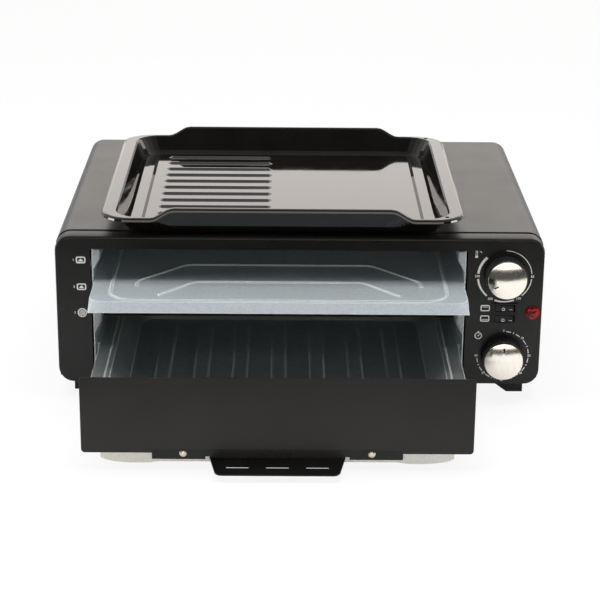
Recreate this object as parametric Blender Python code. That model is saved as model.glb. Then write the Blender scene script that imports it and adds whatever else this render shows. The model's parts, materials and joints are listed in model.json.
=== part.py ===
"""Countertop pizza oven with a sliding divider plate, a pull-out drawer and a grill pan on its roof.

Metres, +Z up, the front faces -Y. The origin lies on the table, under the middle of the whole
object with the drawer pulled out as far as it rests here.
"""
import math

import bmesh
import bpy
from mathutils import Matrix, Vector

# Body
BODY_WIDTH = 0.430
BODY_DEPTH = 0.329
BODY_HEIGHT = 0.1377
CORNER_RADIUS = 0.014
SHELL_SHEET = 0.001
FRAME_STEP = 0.0008
SEAM_GAP = 0.0008
FRAME_DEPTH = 0.0185
FRAME_WALL = 0.004
FRAME_EDGE = 0.002
FOOT_HEIGHT = 0.0135
FOOT_TOP_WIDTH = 0.027
FOOT_SOLE_WIDTH = 0.0145
FOOT_LENGTH = 0.026
FOOT_INSET_SIDE = 0.0125
FOOT_INSET_FRONT = 0.019
FOOT_INSET_REAR = 0.016
BASE_SHEET = 0.0008
BASE_STEP = 0.0005

# Front plate and its opening
PLATE_SHEET = 0.0012
PLATE_INSET = 0.0018
PLATE_TOP_INSET = 0.0032
PLATE_CORNER = 0.0125
OPENING_SIDE_STRIP = 0.0317
CONTROL_STRIP = 0.0682
OPENING_TOP_STRIP = 0.0085
OPENING_CORNER = 0.002

# Cavity
CAVITY_REAR_SPACE = 0.029
CAVITY_SHEET = 0.0008
WALL_INSET = 0.0022
CEILING_DROP = 0.001
RACK_COUNT = 3
RACK_FIRST_DROP = 0.0102
RACK_PITCH_SHARE = 0.2186
RACK_HEIGHT_SHARE = 0.64
RACK_REACH = 0.006
RACK_START = 0.002
RACK_END_RUN = 0.005
RACK_OUTLINE_SHARES = ((0, 0), (0.7, 0.012), (0.93, 0.05), (1, 0.13), (1, 0.48), (0.9, 0.58), (0, 1))
RACK_END_SHARES = ((0, 0), (0.1, 0.44), (0.32, 0.73), (0.62, 0.93), (1, 1))

# Heating rods
ROD_DIAMETER = 0.0065
ROD_CEILING_GAP = 0.00065
ROD_LOWER_SHARE = 0.692
ROD_FRONT_DEPTH = 0.072
ROD_SPACING = 0.140
ROD_OVERHANG = 0.005
BUSH_DIAMETER = 0.012
BUSH_LENGTH = 0.009

# Divider plate that slides on the second rack
DIVIDER_SIDE_GAP = 0.00085
DIVIDER_REAR_SPACE = 0.018
DIVIDER_SHEET = 0.0008
DIVIDER_OUT = 0.052
DIVIDER_LIP = 0.0073
DIVIDER_BEND_RADIUS = 0.0125
DIVIDER_REAR_RADIUS = 0.010
DIVIDER_MARGIN = 0.0165
DIVIDER_PANEL_FRONT = 0.0045
DIVIDER_PANEL_RADIUS = 0.022
BEAD_WIDTH = 0.0036
BEAD_BEND_REACH = 0.005
BEAD_CREST = 0.0014
BEAD_HEIGHT = 0.0011
NEAR_BEAD_SHARE = 0.642
NEAR_BEAD_RUN_SHARE = 0.457
NEAR_BEAD_START = 0.017
NEAR_BEAD_REACH = 0.052
FAR_BEAD_SHARE = 0.765
FAR_BEAD_RUN_SHARE = 0.512
FAR_BEAD_START = 0.041
FAR_BEAD_KNEE = 0.054
FAR_BEAD_REACH = 0.099

# Drawer
DRAWER_OUT = 0.154
DRAWER_SIDE_GAP = 0.00505
DRAWER_FRONT_HEIGHT = 0.066
DRAWER_BOTTOM_RISE = 0.002
DRAWER_SHEET = 0.0012
DRAWER_CORNER = 0.003
DRAWER_NOTCH = 0.003
TRAY_REAR_SPACE = 0.013
TRAY_SIDE_GAP = 0.0028
TRAY_RIM_SHARE = 0.7546
TRAY_FLANGE_SIDE = 0.011
TRAY_FLANGE_END = 0.003
TRAY_BEAD_WIDTH = 0.0065
TRAY_BEAD_RISE = 0.0018
TRAY_BEAD_ROUND = 0.0012
TRAY_DEPTH = 0.0142
TRAY_DRAFT = 0.0129
TRAY_CORNER = 0.026
TRAY_OUTER_CORNER = 0.006
TRAY_SHEET = 0.0008
TRAY_FLOOR_FILLET = 0.003
TRAY_RIB_COUNT = 7
TRAY_RIB_MARGIN = 0.0281
TRAY_RIB_WIDTH = 0.0135
TRAY_RIB_HEIGHT = 0.0015
TRAY_RIB_INSET = 0.013
TRAY_RIB_SHARES = ((1, 0), (0.84, 0.7), (0.66, 1))
RAIL_SHEET = 0.0012
RAIL_OVERLAP = 0.0085
RAIL_WEB = 0.008
RAIL_FRONT_DEPTH = 0.018
RAIL_REAR_GAP = 0.004
APRON_INSET = 0.0155
APRON_SHEET = 0.001
APRON_EDGE_RISE = 0.0080
SKID_LENGTH = 0.0478
SKID_TABLE_GAP = 0.0054
SKID_LIP = 0.007
SKID_OUTLINE_SHARES = ((0, -0.75), (0.10, 0.05), (0.19, 0.40), (0.29, 0.69), (0.39, 0.87),
                       (0.48, 0.97), (0.56, 1), (0.76, 1), (0.83, 0.92), (0.88, 0.76),
                       (0.925, 0.6), (1, 0.5))
STRIP_WIDTH = 0.205
STRIP_HEIGHT = 0.0105
STRIP_DROP = 0.006
STRIP_LAP = 0.001
STRIP_SHEET = 0.0012
HANDLE_ROOT_WIDTH = 0.111
HANDLE_TIP_WIDTH = 0.1026
HANDLE_REACH = 0.024
HANDLE_CORNER = 0.006
HANDLE_SLOPE = math.radians(9)
HANDLE_SLOT_LENGTH = 0.0195
HANDLE_SLOT_WIDTH = 0.0024
HANDLE_SLOT_PITCH = 0.0325
HANDLE_SLOT_OUT = 0.0133
RELIEF_SLOT_WIDTH = 0.0035
RELIEF_SLOT_HEIGHT = 0.0025
RIVET_SPACING = 0.154
RIVET_HEAD = 0.0066
RIVET_RISE = 0.0018
RIVET_DROP = 0.0005

# Controls
CONTROL_FROM_SIDE = 0.0347
TEMPERATURE_SHARE = 0.2268
TIMER_SHARE = 0.7896
KNOB_SKIRT_DIAMETER = 0.037
KNOB_SKIRT_LENGTH = 0.0118
KNOB_FLUTES = 36
KNOB_FLUTE_DEPTH = 0.0006
KNOB_CAP_DIAMETER = 0.0345
KNOB_CAP_EDGE = 0.0012
KNOB_CAP_RISE = 0.0042
KNOB_CAP_CHAMFER = 0.0009
KNOB_CLEARANCE = 0.0007
KNOB_MARK_LENGTH = 0.0042
KNOB_MARK_WIDTH = 0.0013
KNOB_MARK_DEPTH = 0.0019
KNOB_MARK_OUT = 0.0112
TEMPERATURE_REST = math.radians(237)
SHAFT_DIAMETER = 0.006
SHAFT_IN_KNOB = 0.0085
SHAFT_HOLE = 0.008
SHAFT_BORE = 0.0068
SHAFT_BORE_DEPTH = 0.010
THERMOSTAT_SIZE = 0.030
THERMOSTAT_DEPTH = 0.024
HOUSING_CHAMFER = 0.002
TIMER_FRAME_GAP = 0.0033
TIMER_DEPTH = 0.030
BELL_DIAMETER = 0.034
BELL_RISE = 0.008
SWITCH_FROM_SIDE = 0.0341
SWITCH_UPPER_SHARE = 0.4528
SWITCH_PITCH = 0.0096
SWITCH_WIDTH = 0.0228
SWITCH_HEIGHT = 0.0092
SWITCH_BEZEL = 0.0012
SWITCH_WALL = 0.0005
SWITCH_DEPTH = 0.016
SWITCH_POCKET_DEPTH = 0.008
ROCKER_WIDTH = 0.0165
ROCKER_HEIGHT = 0.0058
ROCKER_CLEARANCE = 0.0004
ROCKER_END_CLEARANCE = 0.0008
ROCKER_PIVOT_DEPTH = 0.0035
ROCKER_ROOT = 0.0062
ROCKER_CHAMFER = 0.0022
ROCKER_TILT = math.radians(5)
LAMP_FROM_SIDE = 0.0098
LAMP_SHARE = 0.484
LAMP_DIAMETER = 0.0123
LAMP_FLANGE = 0.0009
LAMP_DOME = 0.0022
LAMP_STEM = 0.0095
LAMP_STEM_LENGTH = 0.004
LAMP_HOLE = 0.0103
LAMP_BODY_DIAMETER = 0.011
LAMP_BODY_LENGTH = 0.018

# Back
BACK_SHEET = 0.0008
BACK_INSET = 0.002
VENT_COUNT = 12
VENT_ROWS = 2
VENT_WIDTH = 0.004
VENT_HEIGHT = 0.022
VENT_PITCH = 0.014
VENT_ROW_PITCH = 0.036
GLAND_FLANGE = 0.018
GLAND_BARREL = 0.012
GLAND_BORE = 0.007
GLAND_LENGTH = 0.012
GLAND_RISE = 0.030
TERMINAL_WIDTH = 0.034
TERMINAL_DEPTH = 0.020
TERMINAL_HEIGHT = 0.018
TERMINAL_CHAMFER = 0.0009

# Grill pan
PAN_WIDTH = 0.3193
PAN_DEPTH = 0.291
PAN_SHIFT_X = -0.0153
PAN_FRONT_DEPTH = -0.003
PAN_SHEET = 0.0009
PAN_FLANGE_RISE = 0.0165
PAN_RIM_RISE = 0.009
PAN_RIM_MARGIN = 0.0015
PAN_RIM_RAMP = 0.0215
PAN_CORNER = 0.027
PAN_INNER_CORNER = 0.022
PAN_FLANGE_SIDE = 0.0143
PAN_FLANGE_END = 0.0062
PAN_WALL_RUN = 0.0068
PAN_WALL_FILLET = 0.0025
PAN_GUTTER = 0.0095
PAN_STEP_RISE = 0.0022
PAN_STEP_RUN = 0.0035
PAN_EDGE_ROLL = 0.003
PAN_INNER_ROLL = 0.0014
PAN_HOLE = 0.0044
PAN_HOLE_FROM_SIDE = 0.0165
PAN_HOLE_FROM_END = 0.011
PAN_RIDGE_COUNT = 11
PAN_RIDGE_END_MARGIN = 0.0118
PAN_RIDGE_SIDE_MARGIN = 0.0095
PAN_RIDGE_MIDDLE_GAP = 0.0105
PAN_RIDGE_WIDTH = 0.0095
PAN_RIDGE_HEIGHT = 0.0016
PAN_RIDGE_SHARES = ((1, 0), (0.66, 0.36), (0.36, 0.82), (0.14, 1))

# Shared clearances
SEAT = 0.0003
OVERRUN = 0.002

# Counts of facets
ARC_STEPS = 6
ROUND_SIDES = 24
CAP_SIDES = 40
CAP_RINGS = 4
RAMP_STEPS = 6

# Places worked out from the sizes above
FRONT_Y = (DRAWER_OUT - DRAWER_SHEET - SEAT + HANDLE_REACH - BODY_DEPTH) / 2
BODY_BOTTOM = FOOT_HEIGHT
BODY_TOP = BODY_BOTTOM + BODY_HEIGHT
PLATE_TOP = BODY_TOP - PLATE_TOP_INSET
HALF_BODY = BODY_WIDTH / 2
PLATE_HEIGHT = PLATE_TOP - BODY_BOTTOM
OPENING_LEFT = -HALF_BODY + OPENING_SIDE_STRIP
OPENING_RIGHT = HALF_BODY - CONTROL_STRIP
OPENING_MIDDLE = (OPENING_LEFT + OPENING_RIGHT) / 2
WALL_LEFT = OPENING_LEFT + WALL_INSET
WALL_RIGHT = OPENING_RIGHT - WALL_INSET
CAVITY_DEPTH = BODY_DEPTH - CAVITY_REAR_SPACE
RACK_PITCH = PLATE_HEIGHT * RACK_PITCH_SHARE
ROD_UPPER_DROP = CEILING_DROP + CAVITY_SHEET + ROD_CEILING_GAP + ROD_DIAMETER / 2
ROD_LOWER_DROP = PLATE_HEIGHT * ROD_LOWER_SHARE
DIVIDER_WIDTH = WALL_RIGHT - WALL_LEFT - 2 * DIVIDER_SIDE_GAP
DIVIDER_LENGTH = CAVITY_DEPTH - DIVIDER_REAR_SPACE
DRAWER_FRONT_WIDTH = OPENING_RIGHT - OPENING_LEFT - 2 * DRAWER_SIDE_GAP
DRAWER_FRONT_DROP = PLATE_HEIGHT - DRAWER_BOTTOM_RISE - DRAWER_FRONT_HEIGHT
TRAY_LENGTH = CAVITY_DEPTH - TRAY_REAR_SPACE
TRAY_RIM_WIDTH = WALL_RIGHT - WALL_LEFT - 2 * TRAY_SIDE_GAP
TRAY_RIM_DROP = PLATE_HEIGHT * TRAY_RIM_SHARE
APRON_WIDTH = TRAY_RIM_WIDTH - 2 * APRON_INSET
TEMPERATURE_DROP = PLATE_HEIGHT * TEMPERATURE_SHARE
TIMER_DROP = PLATE_HEIGHT * TIMER_SHARE
TIMER_SIZE = 2 * (PLATE_HEIGHT - TIMER_DROP - FRAME_WALL - TIMER_FRAME_GAP)
SWITCH_UPPER_DROP = PLATE_HEIGHT * SWITCH_UPPER_SHARE
LAMP_DROP = PLATE_HEIGHT * LAMP_SHARE
PAN_FLOOR_INSET = PAN_WALL_RUN + PAN_WALL_FILLET + PAN_GUTTER + PAN_STEP_RUN
PAN_FLOOR_HALF = PAN_WIDTH / 2 - PAN_FLANGE_SIDE - PAN_FLOOR_INSET
PAN_RIM_HALF = PAN_FLOOR_HALF - (PAN_GUTTER - PAN_STEP_RUN) - PAN_RIM_MARGIN - PAN_RIM_RAMP
CONTROL_X = HALF_BODY - CONTROL_FROM_SIDE
SWITCH_X = HALF_BODY - SWITCH_FROM_SIDE
LAMP_X = HALF_BODY - LAMP_FROM_SIDE


def depth(distance):
    """World Y of a place this far behind the face of the front plate."""
    return FRONT_Y + distance


def drop(distance):
    """World Z of a place this far below the top edge of the front plate."""
    return PLATE_TOP - distance


def remove_everything():
    for thing in list(bpy.data.objects):
        bpy.data.objects.remove(thing, do_unlink=True)


def material(name, colour, roughness, metallic):
    made = bpy.data.materials.new(name)
    made.use_nodes = True
    surface = made.node_tree.nodes["Principled BSDF"]
    surface.inputs["Base Color"].default_value = (*colour, 1.0)
    surface.inputs["Roughness"].default_value = roughness
    surface.inputs["Metallic"].default_value = metallic
    return made


def place(mesh, name, skin, origin=None):
    """Link a mesh as a named object, with its origin moved to a joint axis where one is given."""
    if origin is not None:
        mesh.transform(Matrix.Translation(-Vector(origin)))
    thing = bpy.data.objects.new(name, mesh)
    bpy.context.scene.collection.objects.link(thing)
    if origin is not None:
        thing.location = origin
    thing.data.materials.clear()
    thing.data.materials.append(skin)
    return thing


def mesh_from(build):
    """Run a bmesh recipe and return its mesh with every face pointing out."""
    shape = bmesh.new()
    build(shape)
    bmesh.ops.recalc_face_normals(shape, faces=shape.faces)
    mesh = bpy.data.meshes.new("shape")
    shape.to_mesh(mesh)
    shape.free()
    return mesh


def box(x0, x1, y0, y1, z0, z1):
    def build(shape):
        bmesh.ops.create_cube(shape, size=1)
        size = Vector((x1 - x0, y1 - y0, z1 - z0))
        middle = Vector((x0 + x1, y0 + y1, z0 + z1)) / 2
        for vertex in shape.verts:
            vertex.co = middle + vertex.co * size
    return mesh_from(build)


def prism(outline, along, start, end):
    """Extrude an outline of pairs along X, Y or Z from one place to another."""
    def point(pair, value):
        first, second = pair
        if along == "X":
            return (value, first, second)
        if along == "Y":
            return (first, value, second)
        return (first, second, value)

    def build(shape):
        low = [shape.verts.new(point(pair, start)) for pair in outline]
        high = [shape.verts.new(point(pair, end)) for pair in outline]
        shape.faces.new(low)
        shape.faces.new(high)
        for index, corner in enumerate(low):
            following = (index + 1) % len(low)
            shape.faces.new((corner, low[following], high[following], high[index]))
    return mesh_from(build)


def lofted(loops):
    """Closed solid through loops of equal counts, capped at both ends."""
    def build(shape):
        rings = [[shape.verts.new(point) for point in loop] for loop in loops]
        shape.faces.new(rings[0])
        shape.faces.new(rings[-1])
        for ring, other in zip(rings, rings[1:]):
            for index, corner in enumerate(ring):
                following = (index + 1) % len(ring)
                shape.faces.new((corner, ring[following], other[following], other[index]))
    return mesh_from(build)


def arc(centre, radius, start, end, steps=ARC_STEPS):
    """Points on a round corner between two angles in degrees."""
    points = []
    for index in range(steps + 1):
        angle = math.radians(start + (end - start) * index / steps)
        points.append((centre[0] + radius * math.cos(angle), centre[1] + radius * math.sin(angle)))
    return points


def rounded(left, right, bottom, top, radius, steps=ARC_STEPS):
    """Outline of a rectangle with four round corners, counter-clockwise."""
    corners = (
        (right - radius, bottom + radius, -90),
        (right - radius, top - radius, 0),
        (left + radius, top - radius, 90),
        (left + radius, bottom + radius, 180),
    )
    points = []
    for x, y, angle in corners:
        points += arc((x, y), radius, angle, angle + 90, steps)
    return points


def turned(profile, centre, axis="Y", sides=ROUND_SIDES):
    """Turn pairs of radius and place along the axis into a solid round the axis."""
    def point(radius, along, angle):
        across = radius * math.cos(angle)
        up = radius * math.sin(angle)
        offset = (across, along, up) if axis == "Y" else (along, across, up)
        return Vector(centre) + Vector(offset)

    def build(shape):
        rings = []
        for radius, along in profile:
            if radius == 0:
                rings.append([shape.verts.new(point(0, along, 0))])
                continue
            angles = [2 * math.pi * index / sides for index in range(sides)]
            rings.append([shape.verts.new(point(radius, along, angle)) for angle in angles])
        pairs = list(zip(rings, rings[1:]))
        if len(rings[0]) > 1:
            pairs.append((rings[-1], rings[0]))
        for ring, other in pairs:
            for index in range(sides):
                following = (index + 1) % sides
                corners = []
                for one in (ring[index % len(ring)], ring[following % len(ring)],
                            other[following % len(other)], other[index % len(other)]):
                    if one not in corners:
                        corners.append(one)
                if len(corners) > 2:
                    shape.faces.new(corners)
    return mesh_from(build)


def combine(mesh, others, operation):
    """Cut, join or intersect a mesh with other closed meshes, one after the other."""
    target = bpy.data.objects.new("target", mesh)
    bpy.context.scene.collection.objects.link(target)
    tools = []
    for other in others:
        tool = bpy.data.objects.new("tool", other)
        tool.hide_render = True
        tool.display_type = "WIRE"
        bpy.context.scene.collection.objects.link(tool)
        step = target.modifiers.new("step", "BOOLEAN")
        step.object = tool
        step.operation = operation
        step.solver = "EXACT"
        tools.append(tool)
    bpy.context.view_layer.update()
    graph = bpy.context.evaluated_depsgraph_get()
    result = bpy.data.meshes.new_from_object(target.evaluated_get(graph))
    for thing in (target, *tools):
        bpy.data.objects.remove(thing, do_unlink=True)
    return result


def cut(mesh, *others):
    return combine(mesh, others, "DIFFERENCE")


def join(mesh, *others):
    return combine(mesh, others, "UNION")


def thickened(mesh, thickness, offset=-1.0):
    """Give an open surface its sheet thickness."""
    thing = bpy.data.objects.new("sheet", mesh)
    bpy.context.scene.collection.objects.link(thing)
    solid = thing.modifiers.new("sheet", "SOLIDIFY")
    solid.thickness = thickness
    solid.offset = offset
    solid.use_even_offset = True
    bpy.context.view_layer.update()
    graph = bpy.context.evaluated_depsgraph_get()
    result = bpy.data.meshes.new_from_object(thing.evaluated_get(graph))
    bpy.data.objects.remove(thing, do_unlink=True)
    return result


def softened(mesh, width, segments=2, angle=50):
    """Round the sharp edges of a solid."""
    shape = bmesh.new()
    shape.from_mesh(mesh)
    edges = [edge for edge in shape.edges
             if len(edge.link_faces) == 2 and edge.calc_face_angle() > math.radians(angle)]
    bmesh.ops.bevel(shape, geom=edges, offset=width, segments=segments, affect="EDGES",
                    clamp_overlap=True)
    shape.to_mesh(mesh)
    shape.free()
    return mesh


def smooth(thing, degrees=35):
    thing.data.shade_smooth()
    thing.data.set_sharp_from_angle(angle=math.radians(degrees))
    return thing


def ridge(path, low, high, width, crest, closed=False):
    """Raised bead along a path of pairs, with sloping flanks and mitred corners."""
    count = len(path)

    def side(index, reach):
        here = Vector(path[index])
        before = Vector(path[(index - 1) % count])
        after = Vector(path[(index + 1) % count])
        if not closed and index == 0:
            before = here - (after - here)
        if not closed and index == count - 1:
            after = here + (here - before)
        arriving = (here - before).normalized()
        leaving = (after - here).normalized()
        middle = (arriving + leaving).normalized()
        normal = Vector((-middle.y, middle.x))
        stretch = 1 / max(middle.dot(leaving), 0.5)
        return here + normal * reach * stretch

    def build(shape):
        slices = []
        for index in range(count):
            section = ((-width / 2, low), (width / 2, low), (crest / 2, high), (-crest / 2, high))
            slices.append([shape.verts.new((*side(index, reach), z)) for reach, z in section])
        last = count if closed else count - 1
        for index in range(last):
            one = slices[index]
            two = slices[(index + 1) % count]
            for corner in range(4):
                following = (corner + 1) % 4
                shape.faces.new((one[corner], one[following], two[following], two[corner]))
        if not closed:
            shape.faces.new(slices[0])
            shape.faces.new(slices[-1])
    return mesh_from(build)


def rib(first, second, low, base, height, width, shares, steps=4):
    """Raised rib with round ends between two points, its section given in shares of its size."""
    (x0, y0), (x1, y1) = first, second
    lengthwise = abs(y1 - y0) > abs(x1 - x0)

    def outline(radius):
        if lengthwise:
            one = arc((x0, y0 + width / 2), radius, 180, 360, steps)
            other = arc((x1, y1 - width / 2), radius, 0, 180, steps)
        else:
            one = arc((x0 + width / 2, y0), radius, 90, 270, steps)
            other = arc((x1 - width / 2, y1), radius, -90, 90, steps)
        return one + other

    loops = [[(*pair, low) for pair in outline(width / 2)]]
    for across, up in shares:
        loops.append([(*pair, base + height * up) for pair in outline(width / 2 * across)])
    return lofted(loops)


def make_materials():
    return {
        "black_paint": material("black_paint", (0.020, 0.019, 0.018), 0.45, 0.0),
        "black_steel": material("black_steel", (0.028, 0.026, 0.024), 0.40, 0.3),
        "galvanised": material("galvanised", (0.42, 0.47, 0.49), 0.42, 0.9),
        "black_enamel": material("black_enamel", (0.010, 0.009, 0.009), 0.12, 0.0),
        "black_plastic": material("black_plastic", (0.012, 0.012, 0.012), 0.55, 0.0),
        "rubber": material("rubber", (0.015, 0.015, 0.015), 0.80, 0.0),
        "satin_steel": material("satin_steel", (0.76, 0.70, 0.64), 0.30, 1.0),
        "rivet_metal": material("rivet_metal", (0.72, 0.60, 0.46), 0.30, 1.0),
        "rod_metal": material("rod_metal", (0.10, 0.075, 0.060), 0.50, 0.8),
        "ceramic": material("ceramic", (0.80, 0.77, 0.70), 0.60, 0.0),
        "red_lens": material("red_lens", (0.40, 0.010, 0.015), 0.15, 0.0),
        "switch_body": material("switch_body", (0.03, 0.03, 0.03), 0.50, 0.0),
        "zinc": material("zinc", (0.55, 0.56, 0.56), 0.40, 0.9),
    }


def body_outline(inset, open_below=False):
    """Front outline of the body, set in by a distance."""
    left, right = -HALF_BODY + inset, HALF_BODY - inset
    bottom, top = BODY_BOTTOM + inset, BODY_TOP - inset
    radius = CORNER_RADIUS - inset
    if not open_below:
        return rounded(left, right, bottom, top, radius)
    points = [(right, bottom)]
    points += arc((right - radius, top - radius), radius, 0, 90)
    points += arc((left + radius, top - radius), radius, 90, 180)
    points.append((left, bottom))
    return points


def outer_shell(skins):
    """Roof and both sides bent from one sheet."""
    start = depth(FRAME_DEPTH + SEAM_GAP)
    end = depth(BODY_DEPTH)
    outer = body_outline(0, open_below=True)
    inner = body_outline(SHELL_SHEET, open_below=True)
    sides_bottom = outer[0][1]
    inner[0] = (inner[0][0], sides_bottom)
    inner[-1] = (inner[-1][0], sides_bottom)
    mesh = prism(outer + inner[::-1], "Y", start, end)
    return smooth(place(mesh, "outer_shell", skins["black_paint"]))


def front_frame(skins):
    """Deep ring behind the front plate, with the way of the drawer cut out below."""
    start = depth(PLATE_SHEET + SEAT)
    end = depth(FRAME_DEPTH)
    loops = []
    for across, along in arc((0, 0), FRAME_EDGE, 180, 90, 3):
        inset = FRAME_STEP + FRAME_EDGE - along
        loops.append([(x, start + FRAME_EDGE + across, z) for x, z in body_outline(inset)])
    loops.append([(x, end, z) for x, z in body_outline(FRAME_STEP)])
    ring = lofted(loops)
    hollow = prism(body_outline(FRAME_WALL), "Y", start - OVERRUN, end + OVERRUN)
    way = box(OPENING_LEFT, OPENING_RIGHT, start - OVERRUN, end + OVERRUN,
              BODY_BOTTOM - OVERRUN, BODY_BOTTOM + FRAME_WALL + OVERRUN)
    return smooth(place(cut(ring, hollow, way), "front_frame", skins["black_paint"]))


def front_plate(skins):
    """Flat front with the oven opening, open at its lower edge, and the holes of the controls."""
    back = depth(PLATE_SHEET)
    left, right = -HALF_BODY + PLATE_INSET, HALF_BODY - PLATE_INSET
    bottom = BODY_BOTTOM + PLATE_INSET
    sheet = prism(rounded(left, right, bottom, PLATE_TOP, PLATE_CORNER), "Y", depth(0), back)
    edges = (depth(0) - OVERRUN, back + OVERRUN)
    mouth_outline = rounded(OPENING_LEFT, OPENING_RIGHT, bottom - PLATE_CORNER,
                            drop(OPENING_TOP_STRIP), OPENING_CORNER, 3)
    tools = [prism(mouth_outline, "Y", *edges)]
    for control_drop in (TEMPERATURE_DROP, TIMER_DROP):
        hole = [(SHAFT_HOLE / 2, edges[0]), (SHAFT_HOLE / 2, edges[1]), (0, edges[1]), (0, edges[0])]
        tools.append(turned(hole[::-1], (CONTROL_X, 0, drop(control_drop))))
    lamp = [(0, edges[0]), (LAMP_HOLE / 2, edges[0]), (LAMP_HOLE / 2, edges[1]), (0, edges[1])]
    tools.append(turned(lamp, (LAMP_X, 0, drop(LAMP_DROP))))
    half_width = sleeve_half_width() + SEAT
    half_height = sleeve_half_height() + SEAT
    for index in range(2):
        middle = drop(SWITCH_UPPER_DROP + SWITCH_PITCH * index)
        tools.append(box(SWITCH_X - half_width, SWITCH_X + half_width, *edges,
                         middle - half_height, middle + half_height))
    return smooth(place(cut(sheet, *tools), "front_plate", skins["black_paint"]))


def back_panel(skins):
    """Rear sheet between the sides of the shell, with two rows of vent slots."""
    inset = SHELL_SHEET + SEAT
    outline = body_outline(inset)
    end = depth(BODY_DEPTH - BACK_INSET)
    start = end - BACK_SHEET
    sheet = prism(outline, "Y", start, end)
    slots = []
    for row in range(VENT_ROWS):
        middle = (BODY_TOP + BODY_BOTTOM) / 2 + VENT_ROW_PITCH * (row - (VENT_ROWS - 1) / 2)
        for index in range(VENT_COUNT):
            x = OPENING_MIDDLE + VENT_PITCH * (index - (VENT_COUNT - 1) / 2)
            slots.append(box(x - VENT_WIDTH / 2, x + VENT_WIDTH / 2, start - OVERRUN, end + OVERRUN,
                             middle - VENT_HEIGHT / 2, middle + VENT_HEIGHT / 2))
    gland = [(0, start - OVERRUN), (GLAND_BARREL / 2 + SEAT, start - OVERRUN),
             (GLAND_BARREL / 2 + SEAT, end + OVERRUN), (0, end + OVERRUN)]
    slots.append(turned(gland, (CONTROL_X, 0, BODY_BOTTOM + GLAND_RISE)))
    return place(cut(sheet, *slots), "back_panel", skins["black_paint"])


def base_plate(skins):
    inset = SHELL_SHEET + SEAT
    bottom = BODY_BOTTOM + BASE_STEP
    end = depth(BODY_DEPTH - BACK_INSET) - BACK_SHEET - SEAT
    mesh = box(-HALF_BODY + inset, HALF_BODY - inset, depth(FRAME_DEPTH) + SEAT, end,
               bottom, bottom + BASE_SHEET)
    return place(mesh, "base_plate", skins["galvanised"])


def feet(skins):
    """Four moulded feet whose inner side slopes up to the base."""
    made = []
    top = BODY_BOTTOM + BASE_STEP - SEAT
    rear_start = BODY_DEPTH - FOOT_INSET_REAR - FOOT_LENGTH
    for row, start in (("front", FOOT_INSET_FRONT), ("rear", rear_start)):
        for side, sign in (("left", -1), ("right", 1)):
            outer = sign * (HALF_BODY - FOOT_INSET_SIDE)
            outline = [
                (outer, 0),
                (outer, top),
                (outer - sign * FOOT_TOP_WIDTH, top),
                (outer - sign * FOOT_TOP_WIDTH, top - FOOT_HEIGHT / 3),
                (outer - sign * FOOT_SOLE_WIDTH, 0),
            ]
            mesh = prism(outline, "Y", depth(start), depth(start + FOOT_LENGTH))
            made.append(place(mesh, f"foot_{row}_{side}", skins["rubber"]))
    return made


def wall_profile(face, inward, share, sheet):
    """Pairs of X and Z down one face of a side wall, its ledges pressed in by a share of their reach."""
    pairs = [(face, drop(CEILING_DROP) - CAVITY_SHEET - SEAT)]
    height = RACK_PITCH * RACK_HEIGHT_SHARE
    for level in range(RACK_COUNT):
        top = drop(RACK_FIRST_DROP + RACK_PITCH * level)
        for reach, fall in RACK_OUTLINE_SHARES:
            x = face + inward * RACK_REACH * reach * share
            pairs.append((x, top - sheet - (height - sheet) * fall))
    pairs.append((face, BODY_BOTTOM + BASE_STEP + BASE_SHEET + SEAT))
    return pairs


def cavity_wall(name, face, inward, skins):
    """Side wall with three pressed ledges, closed at the front, for what slides in."""
    start = depth(PLATE_SHEET + SEAT)
    end = depth(CAVITY_DEPTH)
    back = face - inward * CAVITY_SHEET
    stations = [(start, start, 0)]
    for along, share in RACK_END_SHARES:
        y = start + RACK_START + RACK_END_RUN * along
        stations.append((y, y + CAVITY_SHEET, share))
    stations.append((end, end, 1))
    loops = []
    for inner_y, outer_y, share in stations:
        inner = [(x, inner_y, z) for x, z in wall_profile(face, inward, share, 0)]
        outer = [(x, outer_y, z) for x, z in wall_profile(back, inward, share, CAVITY_SHEET)]
        loops.append(inner + outer[::-1])
    mesh = lofted(loops)
    tools = []
    for rod_drop, rod_depth in rod_places():
        hole = ROD_DIAMETER / 2 + SEAT
        ends = (face - RACK_REACH, face + RACK_REACH)
        profile = [(0, ends[0]), (hole, ends[0]), (hole, ends[1]), (0, ends[1])]
        tools.append(turned(profile, (0, depth(rod_depth), drop(rod_drop)), "X"))
    return smooth(place(cut(mesh, *tools), name, skins["galvanised"]))


def cavity_shell(skins):
    """Ceiling and back of the cavity, seated on its side walls."""
    left = WALL_LEFT - CAVITY_SHEET
    right = WALL_RIGHT + CAVITY_SHEET
    top = drop(CEILING_DROP)
    start = depth(FRAME_DEPTH + SEAT)
    end = depth(CAVITY_DEPTH)
    ceiling = box(left, right, start, end, top - CAVITY_SHEET, top)
    place(ceiling, "cavity_ceiling", skins["galvanised"])
    low = BODY_BOTTOM + BASE_STEP + BASE_SHEET + SEAT
    back = box(left, right, end + SEAT, end + SEAT + CAVITY_SHEET, low, top)
    place(back, "cavity_back_wall", skins["galvanised"])


def rod_places():
    """Drop and depth of the two upper and two lower heating rods."""
    places = []
    for rod_drop in (ROD_UPPER_DROP, ROD_LOWER_DROP):
        for index in range(2):
            places.append((rod_drop, ROD_FRONT_DEPTH + ROD_SPACING * index))
    return places


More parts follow.
